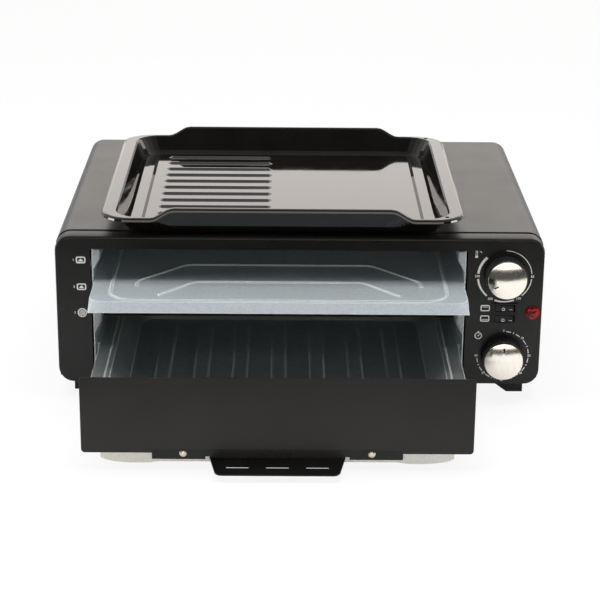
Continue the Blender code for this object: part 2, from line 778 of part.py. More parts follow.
def heating_rods(skins):
    """Sheathed rods across the cavity, each held by a ceramic bush outside either wall."""
    names = ("upper_front", "upper_rear", "lower_front", "lower_rear")
    left = WALL_LEFT - CAVITY_SHEET - SEAT
    right = WALL_RIGHT + CAVITY_SHEET + SEAT
    radius = ROD_DIAMETER / 2
    bore = radius + SEAT
    for name, (rod_drop, rod_depth) in zip(names, rod_places()):
        centre = (0, depth(rod_depth), drop(rod_drop))
        ends = (left - ROD_OVERHANG, right + ROD_OVERHANG)
        rod = [(0, ends[0]), (radius, ends[0]), (radius, ends[1]), (0, ends[1])]
        smooth(place(turned(rod, centre, "X", ROUND_SIDES // 2), f"heating_rod_{name}",
                     skins["rod_metal"]))
        for side, face, outward in (("left", left, -1), ("right", right, 1)):
            outer = face + outward * BUSH_LENGTH
            inner = face + outward * (ROD_OVERHANG + SEAT)
            bush = [(0, outer), (BUSH_DIAMETER / 2, outer), (BUSH_DIAMETER / 2, face),
                    (bore, face), (bore, inner), (0, inner)]
            smooth(place(turned(bush, centre, "X", ROUND_SIDES // 2), f"bush_{name}_{side}",
                         skins["ceramic"]))


def drawer_rails(skins):
    """Angles on the cavity walls that the side flanges of the tray slide on."""
    top = drop(TRAY_RIM_DROP) - TRAY_SHEET - SEAT
    reach = TRAY_SIDE_GAP + RAIL_OVERLAP
    for side, face, inward in (("left", WALL_LEFT, 1), ("right", WALL_RIGHT, -1)):
        wall = face + inward * SEAT
        web = wall + inward * RAIL_SHEET
        tip = face + inward * reach
        outline = [(wall, top), (tip, top), (tip, top - RAIL_SHEET), (web, top - RAIL_SHEET),
                   (web, top - RAIL_WEB), (wall, top - RAIL_WEB)]
        mesh = prism(outline, "Y", depth(RAIL_FRONT_DEPTH), depth(CAVITY_DEPTH - RAIL_REAR_GAP))
        place(mesh, f"drawer_rail_{side}", skins["galvanised"])


def surface_from(build):
    """Run a bmesh recipe for an open sheet and return it with its faces pointing up."""
    shape = bmesh.new()
    build(shape)
    bmesh.ops.recalc_face_normals(shape, faces=shape.faces)
    upward = sum(face.normal.z * face.calc_area() for face in shape.faces)
    if upward < 0:
        bmesh.ops.reverse_faces(shape, faces=shape.faces)
    mesh = bpy.data.meshes.new("surface")
    shape.to_mesh(mesh)
    shape.free()
    return mesh


def stacked_surface(loops):
    """Sheet that steps from loop to loop of equal counts and ends in a flat floor."""
    def build(shape):
        rings = [[shape.verts.new(point) for point in loop] for loop in loops]
        for ring, other in zip(rings, rings[1:]):
            for index, corner in enumerate(ring):
                following = (index + 1) % len(ring)
                shape.faces.new((corner, ring[following], other[following], other[index]))
        shape.faces.new(rings[-1])
    return surface_from(build)


def divider_top():
    """World Z of the upper face of the divider plate, seated on the second pair of ledges."""
    return drop(RACK_FIRST_DROP + RACK_PITCH) + SEAT + DIVIDER_SHEET


def divider_sheet(middle, bend, top):
    """Flat sheet whose front edge bends down along a line that rounds into its sides."""
    half = DIVIDER_WIDTH / 2
    radius = DIVIDER_BEND_RADIUS
    rear = bend + DIVIDER_LENGTH
    corner_angle = math.atan2(radius + DIVIDER_LIP, radius)
    bends = []
    for sign in (-1, 1):
        centre = (middle + sign * (half - radius), bend + radius)
        angles = [math.pi / 2 * index / ARC_STEPS for index in range(ARC_STEPS + 1)]
        for angle in sorted([*angles, corner_angle], reverse=sign > 0):
            bends.append((centre, sign * math.cos(angle), -math.sin(angle)))

    def edge_place(centre, across, forward):
        reaches = []
        if abs(across) > SEAT:
            reaches.append(radius / abs(across))
        if abs(forward) > SEAT:
            reaches.append((radius + DIVIDER_LIP) / abs(forward))
        reach = min(reaches)
        fall = min(reach - radius, DIVIDER_LIP)
        return (centre[0] + across * reach, centre[1] + forward * reach, top - fall)

    def build(shape):
        inner = []
        outer = []
        for centre, across, forward in bends:
            spot = (centre[0] + across * radius, centre[1] + forward * radius, top)
            inner.append(shape.verts.new(spot))
            end = forward > -SEAT
            outer.append(inner[-1] if end else shape.verts.new(edge_place(centre, across, forward)))
        corner = DIVIDER_REAR_RADIUS
        back = arc((middle + half - corner, rear - corner), corner, 0, 90, 3)
        back += arc((middle - half + corner, rear - corner), corner, 90, 180, 3)
        shape.faces.new(inner + [shape.verts.new((*pair, top)) for pair in back])
        for index in range(len(inner) - 1):
            corners = [inner[index], inner[index + 1], outer[index + 1], outer[index]]
            kept = [one for place_in, one in enumerate(corners) if one not in corners[:place_in]]
            shape.faces.new(kept)
    return thickened(surface_from(build), DIVIDER_SHEET)


def bent_path(path, reach):
    """Path with each inner corner rounded by a short curve that begins a reach before it."""
    points = [Vector(path[0])]
    for before, here, after in zip(path, path[1:], path[2:]):
        corner = Vector(here)
        start = corner + (Vector(before) - corner).normalized() * reach
        end = corner + (Vector(after) - corner).normalized() * reach
        points += [start, ((start + end) / 2 + corner) / 2, end]
    return points + [Vector(path[-1])]


def divider_beads(middle, bend, low, high):
    """Panel outline and the two arched beads near either end of the plate."""
    half = DIVIDER_WIDTH / 2 - DIVIDER_MARGIN
    rear = bend + DIVIDER_LENGTH
    outline = rounded(middle - half, middle + half, bend + DIVIDER_PANEL_FRONT,
                      rear - DIVIDER_PANEL_FRONT, DIVIDER_PANEL_RADIUS, 5)
    beads = [ridge(outline, low, high, BEAD_WIDTH, BEAD_CREST, closed=True)]
    width = DIVIDER_WIDTH / 2
    side, run = width * NEAR_BEAD_SHARE, width * NEAR_BEAD_RUN_SHARE
    near = ((-side, NEAR_BEAD_START), (-run, NEAR_BEAD_REACH), (run, NEAR_BEAD_REACH),
            (side, NEAR_BEAD_START))
    side, run = width * FAR_BEAD_SHARE, width * FAR_BEAD_RUN_SHARE
    far = ((-side, FAR_BEAD_START), (-side, FAR_BEAD_KNEE), (-run, FAR_BEAD_REACH),
           (run, FAR_BEAD_REACH), (side, FAR_BEAD_KNEE), (side, FAR_BEAD_START))
    for arch in (near, far):
        front = bent_path([(middle + x, bend + y) for x, y in arch], BEAD_BEND_REACH)
        behind = bent_path([(middle + x, rear - y) for x, y in arch], BEAD_BEND_REACH)
        beads.append(ridge(front, low, high, BEAD_WIDTH, BEAD_CREST))
        beads.append(ridge(behind, low, high, BEAD_WIDTH, BEAD_CREST))
    return beads


def divider_plate(skins):
    bend = depth(-DIVIDER_OUT)
    top = divider_top()
    sheet = divider_sheet(OPENING_MIDDLE, bend, top)
    beads = divider_beads(OPENING_MIDDLE, bend, top - DIVIDER_SHEET / 2, top + BEAD_HEIGHT)
    origin = (OPENING_MIDDLE, bend, top)
    place(join(sheet, *beads), "divider_plate", skins["galvanised"], origin=origin)


def drawer_face():
    """World Y of the outer face of the drawer front at rest."""
    return depth(-DRAWER_OUT)


def drawer_front(skins):
    """Painted front sheet with a shallow recess in its lower edge for the riveted strip."""
    face = drawer_face()
    half = DRAWER_FRONT_WIDTH / 2
    top = drop(DRAWER_FRONT_DROP)
    bottom = top - DRAWER_FRONT_HEIGHT
    outline = rounded(OPENING_MIDDLE - half, OPENING_MIDDLE + half, bottom, top, DRAWER_CORNER, 4)
    sheet = prism(outline, "Y", face, face + DRAWER_SHEET)
    recess_half = STRIP_WIDTH / 2 - STRIP_LAP
    recess = box(OPENING_MIDDLE - recess_half, OPENING_MIDDLE + recess_half, face - OVERRUN,
                 face + DRAWER_SHEET + OVERRUN, bottom - OVERRUN, bottom + DRAWER_NOTCH)
    origin = (OPENING_MIDDLE, face, bottom)
    place(cut(sheet, recess), "drawer_front", skins["black_steel"], origin=origin)


def strip_start():
    return drawer_face() + DRAWER_SHEET + SEAT


def apron_start():
    return strip_start() + STRIP_SHEET + SEAT


def tray_start():
    return apron_start() + APRON_SHEET + SEAT


def tray_loops():
    """Loops of the tray from its flat flange over the bead and down the wall to the floor."""
    start = tray_start()
    end = start + TRAY_LENGTH
    rim = drop(TRAY_RIM_DROP)
    crest = rim + TRAY_BEAD_RISE
    floor = rim - TRAY_DEPTH
    bend = TRAY_BEAD_ROUND
    tuck = TRAY_FLOOR_FILLET
    steps = (
        (0, TRAY_CORNER + TRAY_BEAD_WIDTH, rim),
        (bend, TRAY_CORNER + TRAY_BEAD_WIDTH - bend, crest),
        (TRAY_BEAD_WIDTH - bend, TRAY_CORNER + bend, crest),
        (TRAY_BEAD_WIDTH, TRAY_CORNER, crest - bend),
        (TRAY_BEAD_WIDTH + TRAY_DRAFT - tuck, TRAY_CORNER - TRAY_DRAFT + tuck, floor + tuck),
        (TRAY_BEAD_WIDTH + TRAY_DRAFT, TRAY_CORNER - TRAY_DRAFT, floor),
    )
    half = TRAY_RIM_WIDTH / 2
    places = [(0, 0, TRAY_OUTER_CORNER, rim)]
    places += [(TRAY_FLANGE_SIDE + inset, TRAY_FLANGE_END + inset, radius, height)
               for inset, radius, height in steps]
    loops = []
    for inset_side, inset_end, radius, height in places:
        outline = rounded(OPENING_MIDDLE - half + inset_side, OPENING_MIDDLE + half - inset_side,
                          start + inset_end, end - inset_end, radius, 5)
        loops.append([(*pair, height) for pair in outline])
    return loops


def drawer_tray(skins):
    """Drawn tray with a raised bead round its mouth and ribs from front to back in its floor."""
    sheet = thickened(stacked_surface(tray_loops()), TRAY_SHEET)
    floor = drop(TRAY_RIM_DROP) - TRAY_DEPTH
    margin = TRAY_FLANGE_END + TRAY_BEAD_WIDTH + TRAY_DRAFT + TRAY_RIB_INSET
    front = tray_start() + margin
    rear = tray_start() + TRAY_LENGTH - margin
    floor_half = TRAY_RIM_WIDTH / 2 - TRAY_FLANGE_SIDE - TRAY_BEAD_WIDTH - TRAY_DRAFT
    reach = floor_half - TRAY_RIB_MARGIN
    ribs = []
    for index in range(TRAY_RIB_COUNT):
        x = OPENING_MIDDLE - reach + 2 * reach * index / (TRAY_RIB_COUNT - 1)
        ribs.append(rib((x, front), (x, rear), floor - TRAY_SHEET / 2, floor, TRAY_RIB_HEIGHT,
                        TRAY_RIB_WIDTH, TRAY_RIB_SHARES))
    origin = (OPENING_MIDDLE, drawer_face(), floor)
    tray = place(join(sheet, *ribs), "drawer_tray", skins["galvanised"], origin=origin)
    return smooth(tray)


def skid_edge(sign):
    """Lower edge of one skid, from the outer end of the apron inwards."""
    outer = OPENING_MIDDLE + sign * APRON_WIDTH / 2
    level = APRON_EDGE_RISE
    fall = level - SKID_TABLE_GAP
    return [(outer - sign * SKID_LENGTH * along, level - fall * down)
            for along, down in SKID_OUTLINE_SHARES]


def drawer_apron(skins):
    """Sheet behind the drawer front whose two curved skids hang just clear of the table."""
    start = apron_start()
    half = APRON_WIDTH / 2
    top = drop(TRAY_RIM_DROP) + TRAY_BEAD_RISE
    outline = [(OPENING_MIDDLE + half, top), (OPENING_MIDDLE - half, top)]
    outline += skid_edge(-1) + skid_edge(1)[::-1]
    sheet = prism(outline, "Y", start, start + APRON_SHEET)
    lips = []
    for sign in (-1, 1):
        edge = skid_edge(sign)[1:-2]
        band = edge + [(x, z + APRON_SHEET) for x, z in edge[::-1]]
        lips.append(prism(band, "Y", start + APRON_SHEET / 2, start + SKID_LIP))
    origin = (OPENING_MIDDLE, drawer_face(), SKID_TABLE_GAP)
    place(join(sheet, *lips), "drawer_apron", skins["galvanised"], origin=origin)


def handle_blade(root_y, root_z):
    """Tapered blade with round front corners and three slots, sloping down from its root."""
    root = HANDLE_ROOT_WIDTH / 2
    tip = HANDLE_TIP_WIDTH / 2
    reach = HANDLE_REACH / math.cos(HANDLE_SLOPE)
    corner = HANDLE_CORNER
    outline = [(root, STRIP_SHEET), (-root, STRIP_SHEET)]
    outline += arc((-tip + corner, -reach + corner), corner, 180, 270, 4)
    outline += arc((tip - corner, -reach + corner), corner, 270, 360, 4)
    blade = prism(outline, "Z", -STRIP_SHEET, 0)
    slots = []
    for index in (-1, 0, 1):
        x = HANDLE_SLOT_PITCH * index
        half = HANDLE_SLOT_LENGTH / 2
        width = HANDLE_SLOT_WIDTH / 2
        slot = rounded(x - half, x + half, -HANDLE_SLOT_OUT - width, -HANDLE_SLOT_OUT + width, width, 3)
        slots.append(prism(slot, "Z", -STRIP_SHEET - OVERRUN, OVERRUN))
    blade = cut(blade, *slots)
    blade.transform(Matrix.Rotation(HANDLE_SLOPE, 4, "X"))
    blade.transform(Matrix.Translation((OPENING_MIDDLE, root_y, root_z)))
    return blade


def handle_strip(skins):
    """Riveted strip under the drawer front with the handle bent out of its lower edge."""
    start = strip_start()
    half = STRIP_WIDTH / 2
    bottom = drop(DRAWER_FRONT_DROP) - DRAWER_FRONT_HEIGHT - STRIP_DROP
    strip = box(OPENING_MIDDLE - half, OPENING_MIDDLE + half, start, start + STRIP_SHEET,
                bottom, bottom + STRIP_HEIGHT)
    blade = handle_blade(start, bottom + STRIP_SHEET)
    reliefs = []
    for sign in (-1, 1):
        inner = OPENING_MIDDLE + sign * (HANDLE_ROOT_WIDTH / 2)
        outer = inner + sign * RELIEF_SLOT_WIDTH
        reliefs.append(box(min(inner, outer), max(inner, outer), start - OVERRUN,
                           start + STRIP_SHEET + OVERRUN, bottom - OVERRUN,
                           bottom + RELIEF_SLOT_HEIGHT))
    mesh = cut(join(strip, blade), *reliefs)
    origin = (OPENING_MIDDLE, drawer_face(), bottom)
    place(mesh, "handle_strip", skins["black_steel"], origin=origin)


def strip_rivets(skins):
    """Domed rivet heads on the strip, in the recess of the drawer front."""
    base = strip_start() - SEAT
    level = drop(DRAWER_FRONT_DROP) - DRAWER_FRONT_HEIGHT - RIVET_DROP
    radius = RIVET_HEAD / 2
    for side, sign in (("left", -1), ("right", 1)):
        x = OPENING_MIDDLE + sign * RIVET_SPACING / 2
        profile = [(0, base), (radius, base)]
        for index in range(1, 4):
            angle = math.pi / 2 * index / 4
            profile.append((radius * math.cos(angle), base - RIVET_RISE * math.sin(angle)))
        profile.append((0, base - RIVET_RISE))
        rivet = turned(profile, (x, 0, level), sides=ROUND_SIDES // 2)
        smooth(place(rivet, f"strip_rivet_{side}", skins["rivet_metal"], origin=(x, base, level)))


def knob(name, control_drop, pointer, skins):
    """Fluted skirt, brushed cap with a pointer mark and the shaft that they turn."""
    z = drop(control_drop)
    origin = (CONTROL_X, depth(0), z)
    back = depth(-KNOB_CLEARANCE)
    front = back - KNOB_SKIRT_LENGTH
    flutes = []
    for index in range(2 * KNOB_FLUTES):
        angle = math.pi * index / KNOB_FLUTES
        radius = KNOB_SKIRT_DIAMETER / 2 - (KNOB_FLUTE_DEPTH if index % 2 else 0)
        flutes.append((CONTROL_X + radius * math.cos(angle), z + radius * math.sin(angle)))
    skirt = prism(flutes, "Y", front, back)
    bore_radius = SHAFT_DIAMETER / 2 + SEAT
    bore_end = back - SHAFT_IN_KNOB - SEAT
    bore = [(0, bore_end), (bore_radius, bore_end), (bore_radius, back + OVERRUN), (0, back + OVERRUN)]
    skirt = cut(skirt, turned(bore, (CONTROL_X, 0, z)))
    place(skirt, f"{name}_knob_skirt", skins["black_plastic"], origin=origin)

    seat = front - SEAT
    radius = KNOB_CAP_DIAMETER / 2
    face = seat - KNOB_CAP_EDGE
    profile = [
        (0, seat),
        (radius, seat),
        (radius, face),
        (radius - KNOB_CAP_CHAMFER / 3, face - KNOB_CAP_CHAMFER * 2 / 3),
    ]
    tip = seat - KNOB_CAP_RISE
    dome = face - KNOB_CAP_CHAMFER - tip
    for index in range(CAP_RINGS):
        share = 1 - index / CAP_RINGS
        profile.append(((radius - KNOB_CAP_CHAMFER) * share, tip + dome * share * share))
    profile.append((0, tip))
    cap = turned(profile, (CONTROL_X, 0, z), sides=CAP_SIDES)
    mark = box(-KNOB_MARK_WIDTH / 2, KNOB_MARK_WIDTH / 2, tip - OVERRUN, tip + KNOB_MARK_DEPTH,
               KNOB_MARK_OUT - KNOB_MARK_LENGTH / 2, KNOB_MARK_OUT + KNOB_MARK_LENGTH / 2)
    mark.transform(Matrix.Rotation(pointer, 4, "Y"))
    mark.transform(Matrix.Translation((CONTROL_X, 0, z)))
    cap = place(cut(cap, mark), f"{name}_knob_cap", skins["satin_steel"], origin=origin)
    smooth(cap, 25)

    radius = SHAFT_DIAMETER / 2
    ends = (back - SHAFT_IN_KNOB, depth(PLATE_SHEET + SHAFT_BORE_DEPTH))
    profile = [(0, ends[0]), (radius, ends[0]), (radius, ends[1]), (0, ends[1])]
    shaft = turned(profile, (CONTROL_X, 0, z), sides=ROUND_SIDES // 2)
    smooth(place(shaft, f"{name}_shaft", skins["zinc"], origin=origin))


def control_block(name, control_drop, size, length, skins):
    """Housing seated on the back of the front plate, with a blind bore for the shaft."""
    z = drop(control_drop)
    start = depth(PLATE_SHEET + SEAT)
    block = softened(box(CONTROL_X - size / 2, CONTROL_X + size / 2, start, start + length,
                         z - size / 2, z + size / 2), HOUSING_CHAMFER, 1)
    bore = [(0, start - OVERRUN), (SHAFT_BORE / 2, start - OVERRUN),
            (SHAFT_BORE / 2, start + SHAFT_BORE_DEPTH), (0, start + SHAFT_BORE_DEPTH)]
    place(cut(block, turned(bore, (CONTROL_X, 0, z))), name, skins["zinc"])
    return start + length


def control_insides(skins):
    """Thermostat, clockwork timer and the timer's bell."""
    control_block("thermostat_body", TEMPERATURE_DROP, THERMOSTAT_SIZE, THERMOSTAT_DEPTH, skins)
    end = control_block("timer_body", TIMER_DROP, TIMER_SIZE, TIMER_DEPTH, skins)
    seat = end + SEAT
    radius = BELL_DIAMETER / 2
    profile = [(0, seat), (radius, seat)]
    for index in range(1, 4):
        angle = math.pi / 2 * index / 4
        profile.append((radius * math.cos(angle), seat + BELL_RISE * math.sin(angle)))
    profile.append((0, seat + BELL_RISE))
    smooth(place(turned(profile, (CONTROL_X, 0, drop(TIMER_DROP))), "timer_bell", skins["zinc"]))


def sleeve_half_width():
    return ROCKER_WIDTH / 2 + ROCKER_END_CLEARANCE + SWITCH_WALL


def sleeve_half_height():
    return ROCKER_HEIGHT / 2 + ROCKER_CLEARANCE + SWITCH_WALL


def rocker_switch(name, switch_drop, skins):
    """Bezel with its sleeve through the front plate, and the rocker that tips inside it."""
    z = drop(switch_drop)
    back = depth(-SEAT)
    face = back - SWITCH_BEZEL
    end = depth(SWITCH_DEPTH)
    half_width = sleeve_half_width()
    half_height = sleeve_half_height()
    bezel = box(SWITCH_X - SWITCH_WIDTH / 2, SWITCH_X + SWITCH_WIDTH / 2, face, back,
                z - SWITCH_HEIGHT / 2, z + SWITCH_HEIGHT / 2)
    sleeve = box(SWITCH_X - half_width, SWITCH_X + half_width, (face + back) / 2, end,
                 z - half_height, z + half_height)
    pocket = box(SWITCH_X - half_width + SWITCH_WALL, SWITCH_X + half_width - SWITCH_WALL,
                 face - OVERRUN, depth(SWITCH_POCKET_DEPTH),
                 z - half_height + SWITCH_WALL, z + half_height - SWITCH_WALL)
    place(cut(join(bezel, sleeve), pocket), f"{name}_switch_body", skins["switch_body"])

    half = ROCKER_WIDTH / 2
    rise = half * math.tan(ROCKER_TILT)
    crown = ROCKER_PIVOT_DEPTH + SWITCH_BEZEL
    outline = [
        (-half, -crown - rise),
        (0, -crown),
        (half, -crown - rise),
        (half, -crown + ROCKER_CHAMFER),
        (half - ROCKER_CHAMFER, -crown + ROCKER_ROOT),
        (-half + ROCKER_CHAMFER, -crown + ROCKER_ROOT),
        (-half, -crown + ROCKER_CHAMFER),
    ]
    rocker = prism(outline, "Z", -ROCKER_HEIGHT / 2, ROCKER_HEIGHT / 2)
    rocker.transform(Matrix.Rotation(-ROCKER_TILT, 4, "Z"))
    origin = (SWITCH_X, depth(ROCKER_PIVOT_DEPTH), z)
    rocker.transform(Matrix.Translation(origin))
    place(rocker, f"{name}_rocker", skins["black_plastic"], origin=origin)


def pilot_lamp(skins):
    """Domed red lens on the front plate and the lamp body behind it."""
    z = drop(LAMP_DROP)
    back = depth(-SEAT)
    radius = LAMP_DIAMETER / 2
    stem = LAMP_STEM / 2
    rim = back - LAMP_FLANGE
    end = depth(LAMP_STEM_LENGTH)
    profile = [(0, end), (stem, end), (stem, back), (radius, back), (radius, rim)]
    for index in range(1, 4):
        angle = math.pi / 2 * index / 4
        profile.append((radius * math.cos(angle), rim - LAMP_DOME * math.sin(angle)))
    profile.append((0, rim - LAMP_DOME))
    smooth(place(turned(profile, (LAMP_X, 0, z)), "lamp_lens", skins["red_lens"]), 50)
    radius = LAMP_BODY_DIAMETER / 2
    start = end + SEAT
    profile = [(0, start), (radius, start), (radius, start + LAMP_BODY_LENGTH),
               (0, start + LAMP_BODY_LENGTH)]
    smooth(place(turned(profile, (LAMP_X, 0, z), sides=ROUND_SIDES // 2), "lamp_body",
                 skins["black_plastic"]))


def rear_fittings(skins):
    """Gland where the supply enters and the terminal block inside it."""
    z = BODY_BOTTOM + GLAND_RISE
    outside = depth(BODY_DEPTH - BACK_INSET) + SEAT
    rear = depth(BODY_DEPTH)
    inside = outside - GLAND_LENGTH
    barrel = GLAND_BARREL / 2
    flange = GLAND_FLANGE / 2
    bore = GLAND_BORE / 2
    profile = [(barrel, inside), (barrel, outside), (flange, outside), (flange, rear), (bore, rear),
               (bore, inside)]
    smooth(place(turned(profile, (CONTROL_X, 0, z), sides=ROUND_SIDES), "cord_gland",
                 skins["black_plastic"]))
    floor = BODY_BOTTOM + BASE_STEP + BASE_SHEET + SEAT
    end = inside - GLAND_BARREL
    block = box(CONTROL_X - TERMINAL_WIDTH / 2, CONTROL_X + TERMINAL_WIDTH / 2,
                end - TERMINAL_DEPTH, end, floor, floor + TERMINAL_HEIGHT)
    place(softened(block, TERMINAL_CHAMFER, 1), "terminal_block", skins["ceramic"])


def pan_places():
    """Middle, front and rear of the pan and the height of its gutter floor."""
    front = depth(PAN_FRONT_DEPTH)
    return PAN_SHIFT_X, front, front + PAN_DEPTH, BODY_TOP + SEAT + PAN_SHEET


def ramp_positions():
    """Pairs of place and share of lift along the front edge, over both ramps."""
    pairs = []
    for index in range(RAMP_STEPS + 1):
        share = index / RAMP_STEPS
        lift = (1 - math.cos(math.pi * share)) / 2
        pairs.append((-PAN_RIM_HALF - PAN_RIM_RAMP * (1 - share), lift))
    return pairs + [(-x, lift) for x, lift in pairs[::-1]]


def pan_loop(inset_side, inset_end, radius, height, lifted):
    """One loop of the pan with its front and rear stretches lifted in the middle."""
    middle, front, rear, _ = pan_places()
    half = PAN_WIDTH / 2 - inset_side
    front += inset_end
    rear -= inset_end
    lift = PAN_RIM_RISE * lifted
    points = []
    for x, share in ramp_positions():
        points.append((middle + x, front, height + lift * share))
    points += [(*pair, height) for pair in arc((middle + half - radius, front + radius), radius, -90, 0)]
    points += [(*pair, height) for pair in arc((middle + half - radius, rear - radius), radius, 0, 90)]
    for x, share in ramp_positions()[::-1]:
        points.append((middle + x, rear, height + lift * share))
    points += [(*pair, height) for pair in arc((middle - half + radius, rear - radius), radius, 90, 180)]
    points += [(*pair, height) for pair in arc((middle - half + radius, front + radius), radius, 180, 270)]
    return points


def pan_loops():
    """Rolled edge, flange, wall, gutter and raised floor, each as a pair of loops."""
    gutter = pan_places()[3]
    flange = gutter - PAN_SHEET + PAN_FLANGE_RISE
    side, end = PAN_FLANGE_SIDE, PAN_FLANGE_END
    wall = side + PAN_WALL_RUN
    wall_end = end + PAN_WALL_RUN
    floor = wall + PAN_WALL_FILLET
    floor_end = wall_end + PAN_WALL_FILLET
    step = floor + PAN_GUTTER
    step_end = floor_end + PAN_GUTTER
    inner = PAN_INNER_CORNER
    steps = []
    for across, up in arc((0, 0), PAN_EDGE_ROLL, 180, 90, 3):
        inset = PAN_EDGE_ROLL + across
        steps.append((inset, inset, PAN_CORNER - inset, flange - PAN_EDGE_ROLL + up, 1))
    bend = PAN_INNER_ROLL
    steps += [
        (side - bend, end - bend, inner + bend, flange, 1),
        (side, end, inner, flange - bend, 1),
        (wall, wall_end, inner - PAN_WALL_RUN / 2, gutter + PAN_WALL_FILLET, 0),
        (floor, floor_end, inner - PAN_WALL_RUN / 2 - PAN_WALL_FILLET, gutter, 0),
        (step, step_end, PAN_GUTTER, gutter, 0),
        (step + PAN_STEP_RUN, step_end + PAN_STEP_RUN, PAN_GUTTER - PAN_STEP_RUN,
         gutter + PAN_STEP_RISE, 0),
    ]
    return [pan_loop(*values) for values in steps]


def grill_pan(skins):
    """Enamelled pan with a raised rim front and rear, a drip gutter and ridges on its left half."""
    middle, front, rear, gutter = pan_places()
    sheet = thickened(stacked_surface(pan_loops()), PAN_SHEET)
    floor = gutter + PAN_STEP_RISE
    reach = PAN_DEPTH / 2 - PAN_FLANGE_END - PAN_FLOOR_INSET - PAN_RIDGE_END_MARGIN
    left = middle - PAN_FLOOR_HALF + PAN_RIDGE_SIDE_MARGIN
    right = middle - PAN_RIDGE_MIDDLE_GAP
    ridges = []
    for index in range(PAN_RIDGE_COUNT):
        y = (front + rear) / 2 - reach + 2 * reach * index / (PAN_RIDGE_COUNT - 1)
        ridges.append(rib((left, y), (right, y), floor - PAN_SHEET / 2, floor, PAN_RIDGE_HEIGHT,
                          PAN_RIDGE_WIDTH, PAN_RIDGE_SHARES))
    pan = join(sheet, *ridges)
    top = gutter + PAN_FLANGE_RISE
    x = middle + PAN_WIDTH / 2 - PAN_HOLE_FROM_SIDE
    holes = []
    for y in (front + PAN_HOLE_FROM_END, rear - PAN_HOLE_FROM_END):
        outline = arc((x, y), PAN_HOLE / 2, 0, 330, 11)
        holes.append(prism(outline, "Z", top - PAN_FLANGE_RISE / 2, top + OVERRUN))
    origin = (middle, (front + rear) / 2, gutter - PAN_SHEET)
    smooth(place(cut(pan, *holes), "grill_pan", skins["black_enamel"], origin=origin))


def main():
    remove_everything()
    skins = make_materials()
    outer_shell(skins)
    front_frame(skins)
    front_plate(skins)
    back_panel(skins)
    base_plate(skins)
    feet(skins)
    cavity_wall("cavity_left_wall", WALL_LEFT, 1, skins)
    cavity_wall("cavity_right_wall", WALL_RIGHT, -1, skins)
    cavity_shell(skins)
    heating_rods(skins)
    drawer_rails(skins)
    divider_plate(skins)
    drawer_front(skins)
    drawer_tray(skins)
    drawer_apron(skins)
    handle_strip(skins)
    strip_rivets(skins)
    knob("temperature", TEMPERATURE_DROP, TEMPERATURE_REST, skins)
    knob("timer", TIMER_DROP, 0, skins)
    control_insides(skins)
    rocker_switch("upper", SWITCH_UPPER_DROP, skins)
    rocker_switch("lower", SWITCH_UPPER_DROP + SWITCH_PITCH, skins)
    pilot_lamp(skins)
    rear_fittings(skins)
    grill_pan(skins)


main()
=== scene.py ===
# %% [markdown]
# # A low pizza oven with a pull-out drawer
# The object is a counter-top pizza oven: a painted steel body, a drawer with a ribbed tray, a heat
# shield that slides on ledges, two dials and an enamelled grill pan that lies on the roof. Every hard
# form with a size comes from the packed model, which is loaded first and never moved. What is left for
# this script is what a buyer sees and touches: paint, zinc, enamel, printing, brushed caps and light.

# %% Load the packed model
import json
import math
import bmesh
import bpy
from mathutils import Matrix, Vector
from mathutils.geometry import intersect_ray_tri

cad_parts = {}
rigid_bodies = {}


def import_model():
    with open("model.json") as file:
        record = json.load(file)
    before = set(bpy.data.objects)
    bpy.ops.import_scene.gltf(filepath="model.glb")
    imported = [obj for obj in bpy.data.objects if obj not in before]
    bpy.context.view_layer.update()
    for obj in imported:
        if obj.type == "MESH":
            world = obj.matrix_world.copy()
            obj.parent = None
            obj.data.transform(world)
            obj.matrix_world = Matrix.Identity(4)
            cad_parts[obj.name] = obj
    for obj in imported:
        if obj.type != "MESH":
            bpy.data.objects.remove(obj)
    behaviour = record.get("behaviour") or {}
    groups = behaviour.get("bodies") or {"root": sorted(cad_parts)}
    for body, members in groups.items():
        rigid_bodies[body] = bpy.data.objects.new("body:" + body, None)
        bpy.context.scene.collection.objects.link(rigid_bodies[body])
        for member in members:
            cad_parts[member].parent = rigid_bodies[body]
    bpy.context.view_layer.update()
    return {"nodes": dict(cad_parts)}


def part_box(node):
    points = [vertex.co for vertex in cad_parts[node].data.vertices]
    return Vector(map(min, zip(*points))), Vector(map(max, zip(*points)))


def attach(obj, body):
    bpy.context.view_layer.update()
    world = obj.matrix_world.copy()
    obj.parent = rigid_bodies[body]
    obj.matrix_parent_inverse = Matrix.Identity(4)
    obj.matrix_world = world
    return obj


for thing in list(bpy.data.objects):
    bpy.data.objects.remove(thing)
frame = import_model()
NODES = frame["nodes"]

# %% [markdown]
# ## The photographer's camera
# The picture was taken from a little above, with a long lens, so the sides of the oven hardly
# converge. The camera is set from its place, its tilt and its roll. Those could also be found by hand,
# by turning the camera until the body's edges lie on each other, but a fit to many edges is steadier.

# %% Camera
CAMERA_PLACE = Vector((-0.0133, -1.59755, 0.6379))
CAMERA_PITCH = math.radians(19.69)
CAMERA_YAW = math.radians(0.511)
CAMERA_ROLL = math.radians(0.534)
IMAGE_PIXELS = 600
FOCAL_PIXELS = 1837
SENSOR_MM = 36
NEAREST_SEEN = 0.05


def aim(place, pitch, yaw, roll):
    """Camera matrix from a place and three angles; the roll drops the right side of the picture."""
    ahead = Vector((math.sin(yaw) * math.cos(pitch), math.cos(yaw) * math.cos(pitch), -math.sin(pitch)))
    level = Vector((math.cos(yaw), -math.sin(yaw), 0))
    down = ahead.cross(level)
    right = level * math.cos(roll) - down * math.sin(roll)
    below = level * math.sin(roll) + down * math.cos(roll)
    turn = Matrix((right, -below, -ahead)).transposed().to_4x4()
    return Matrix.Translation(place) @ turn


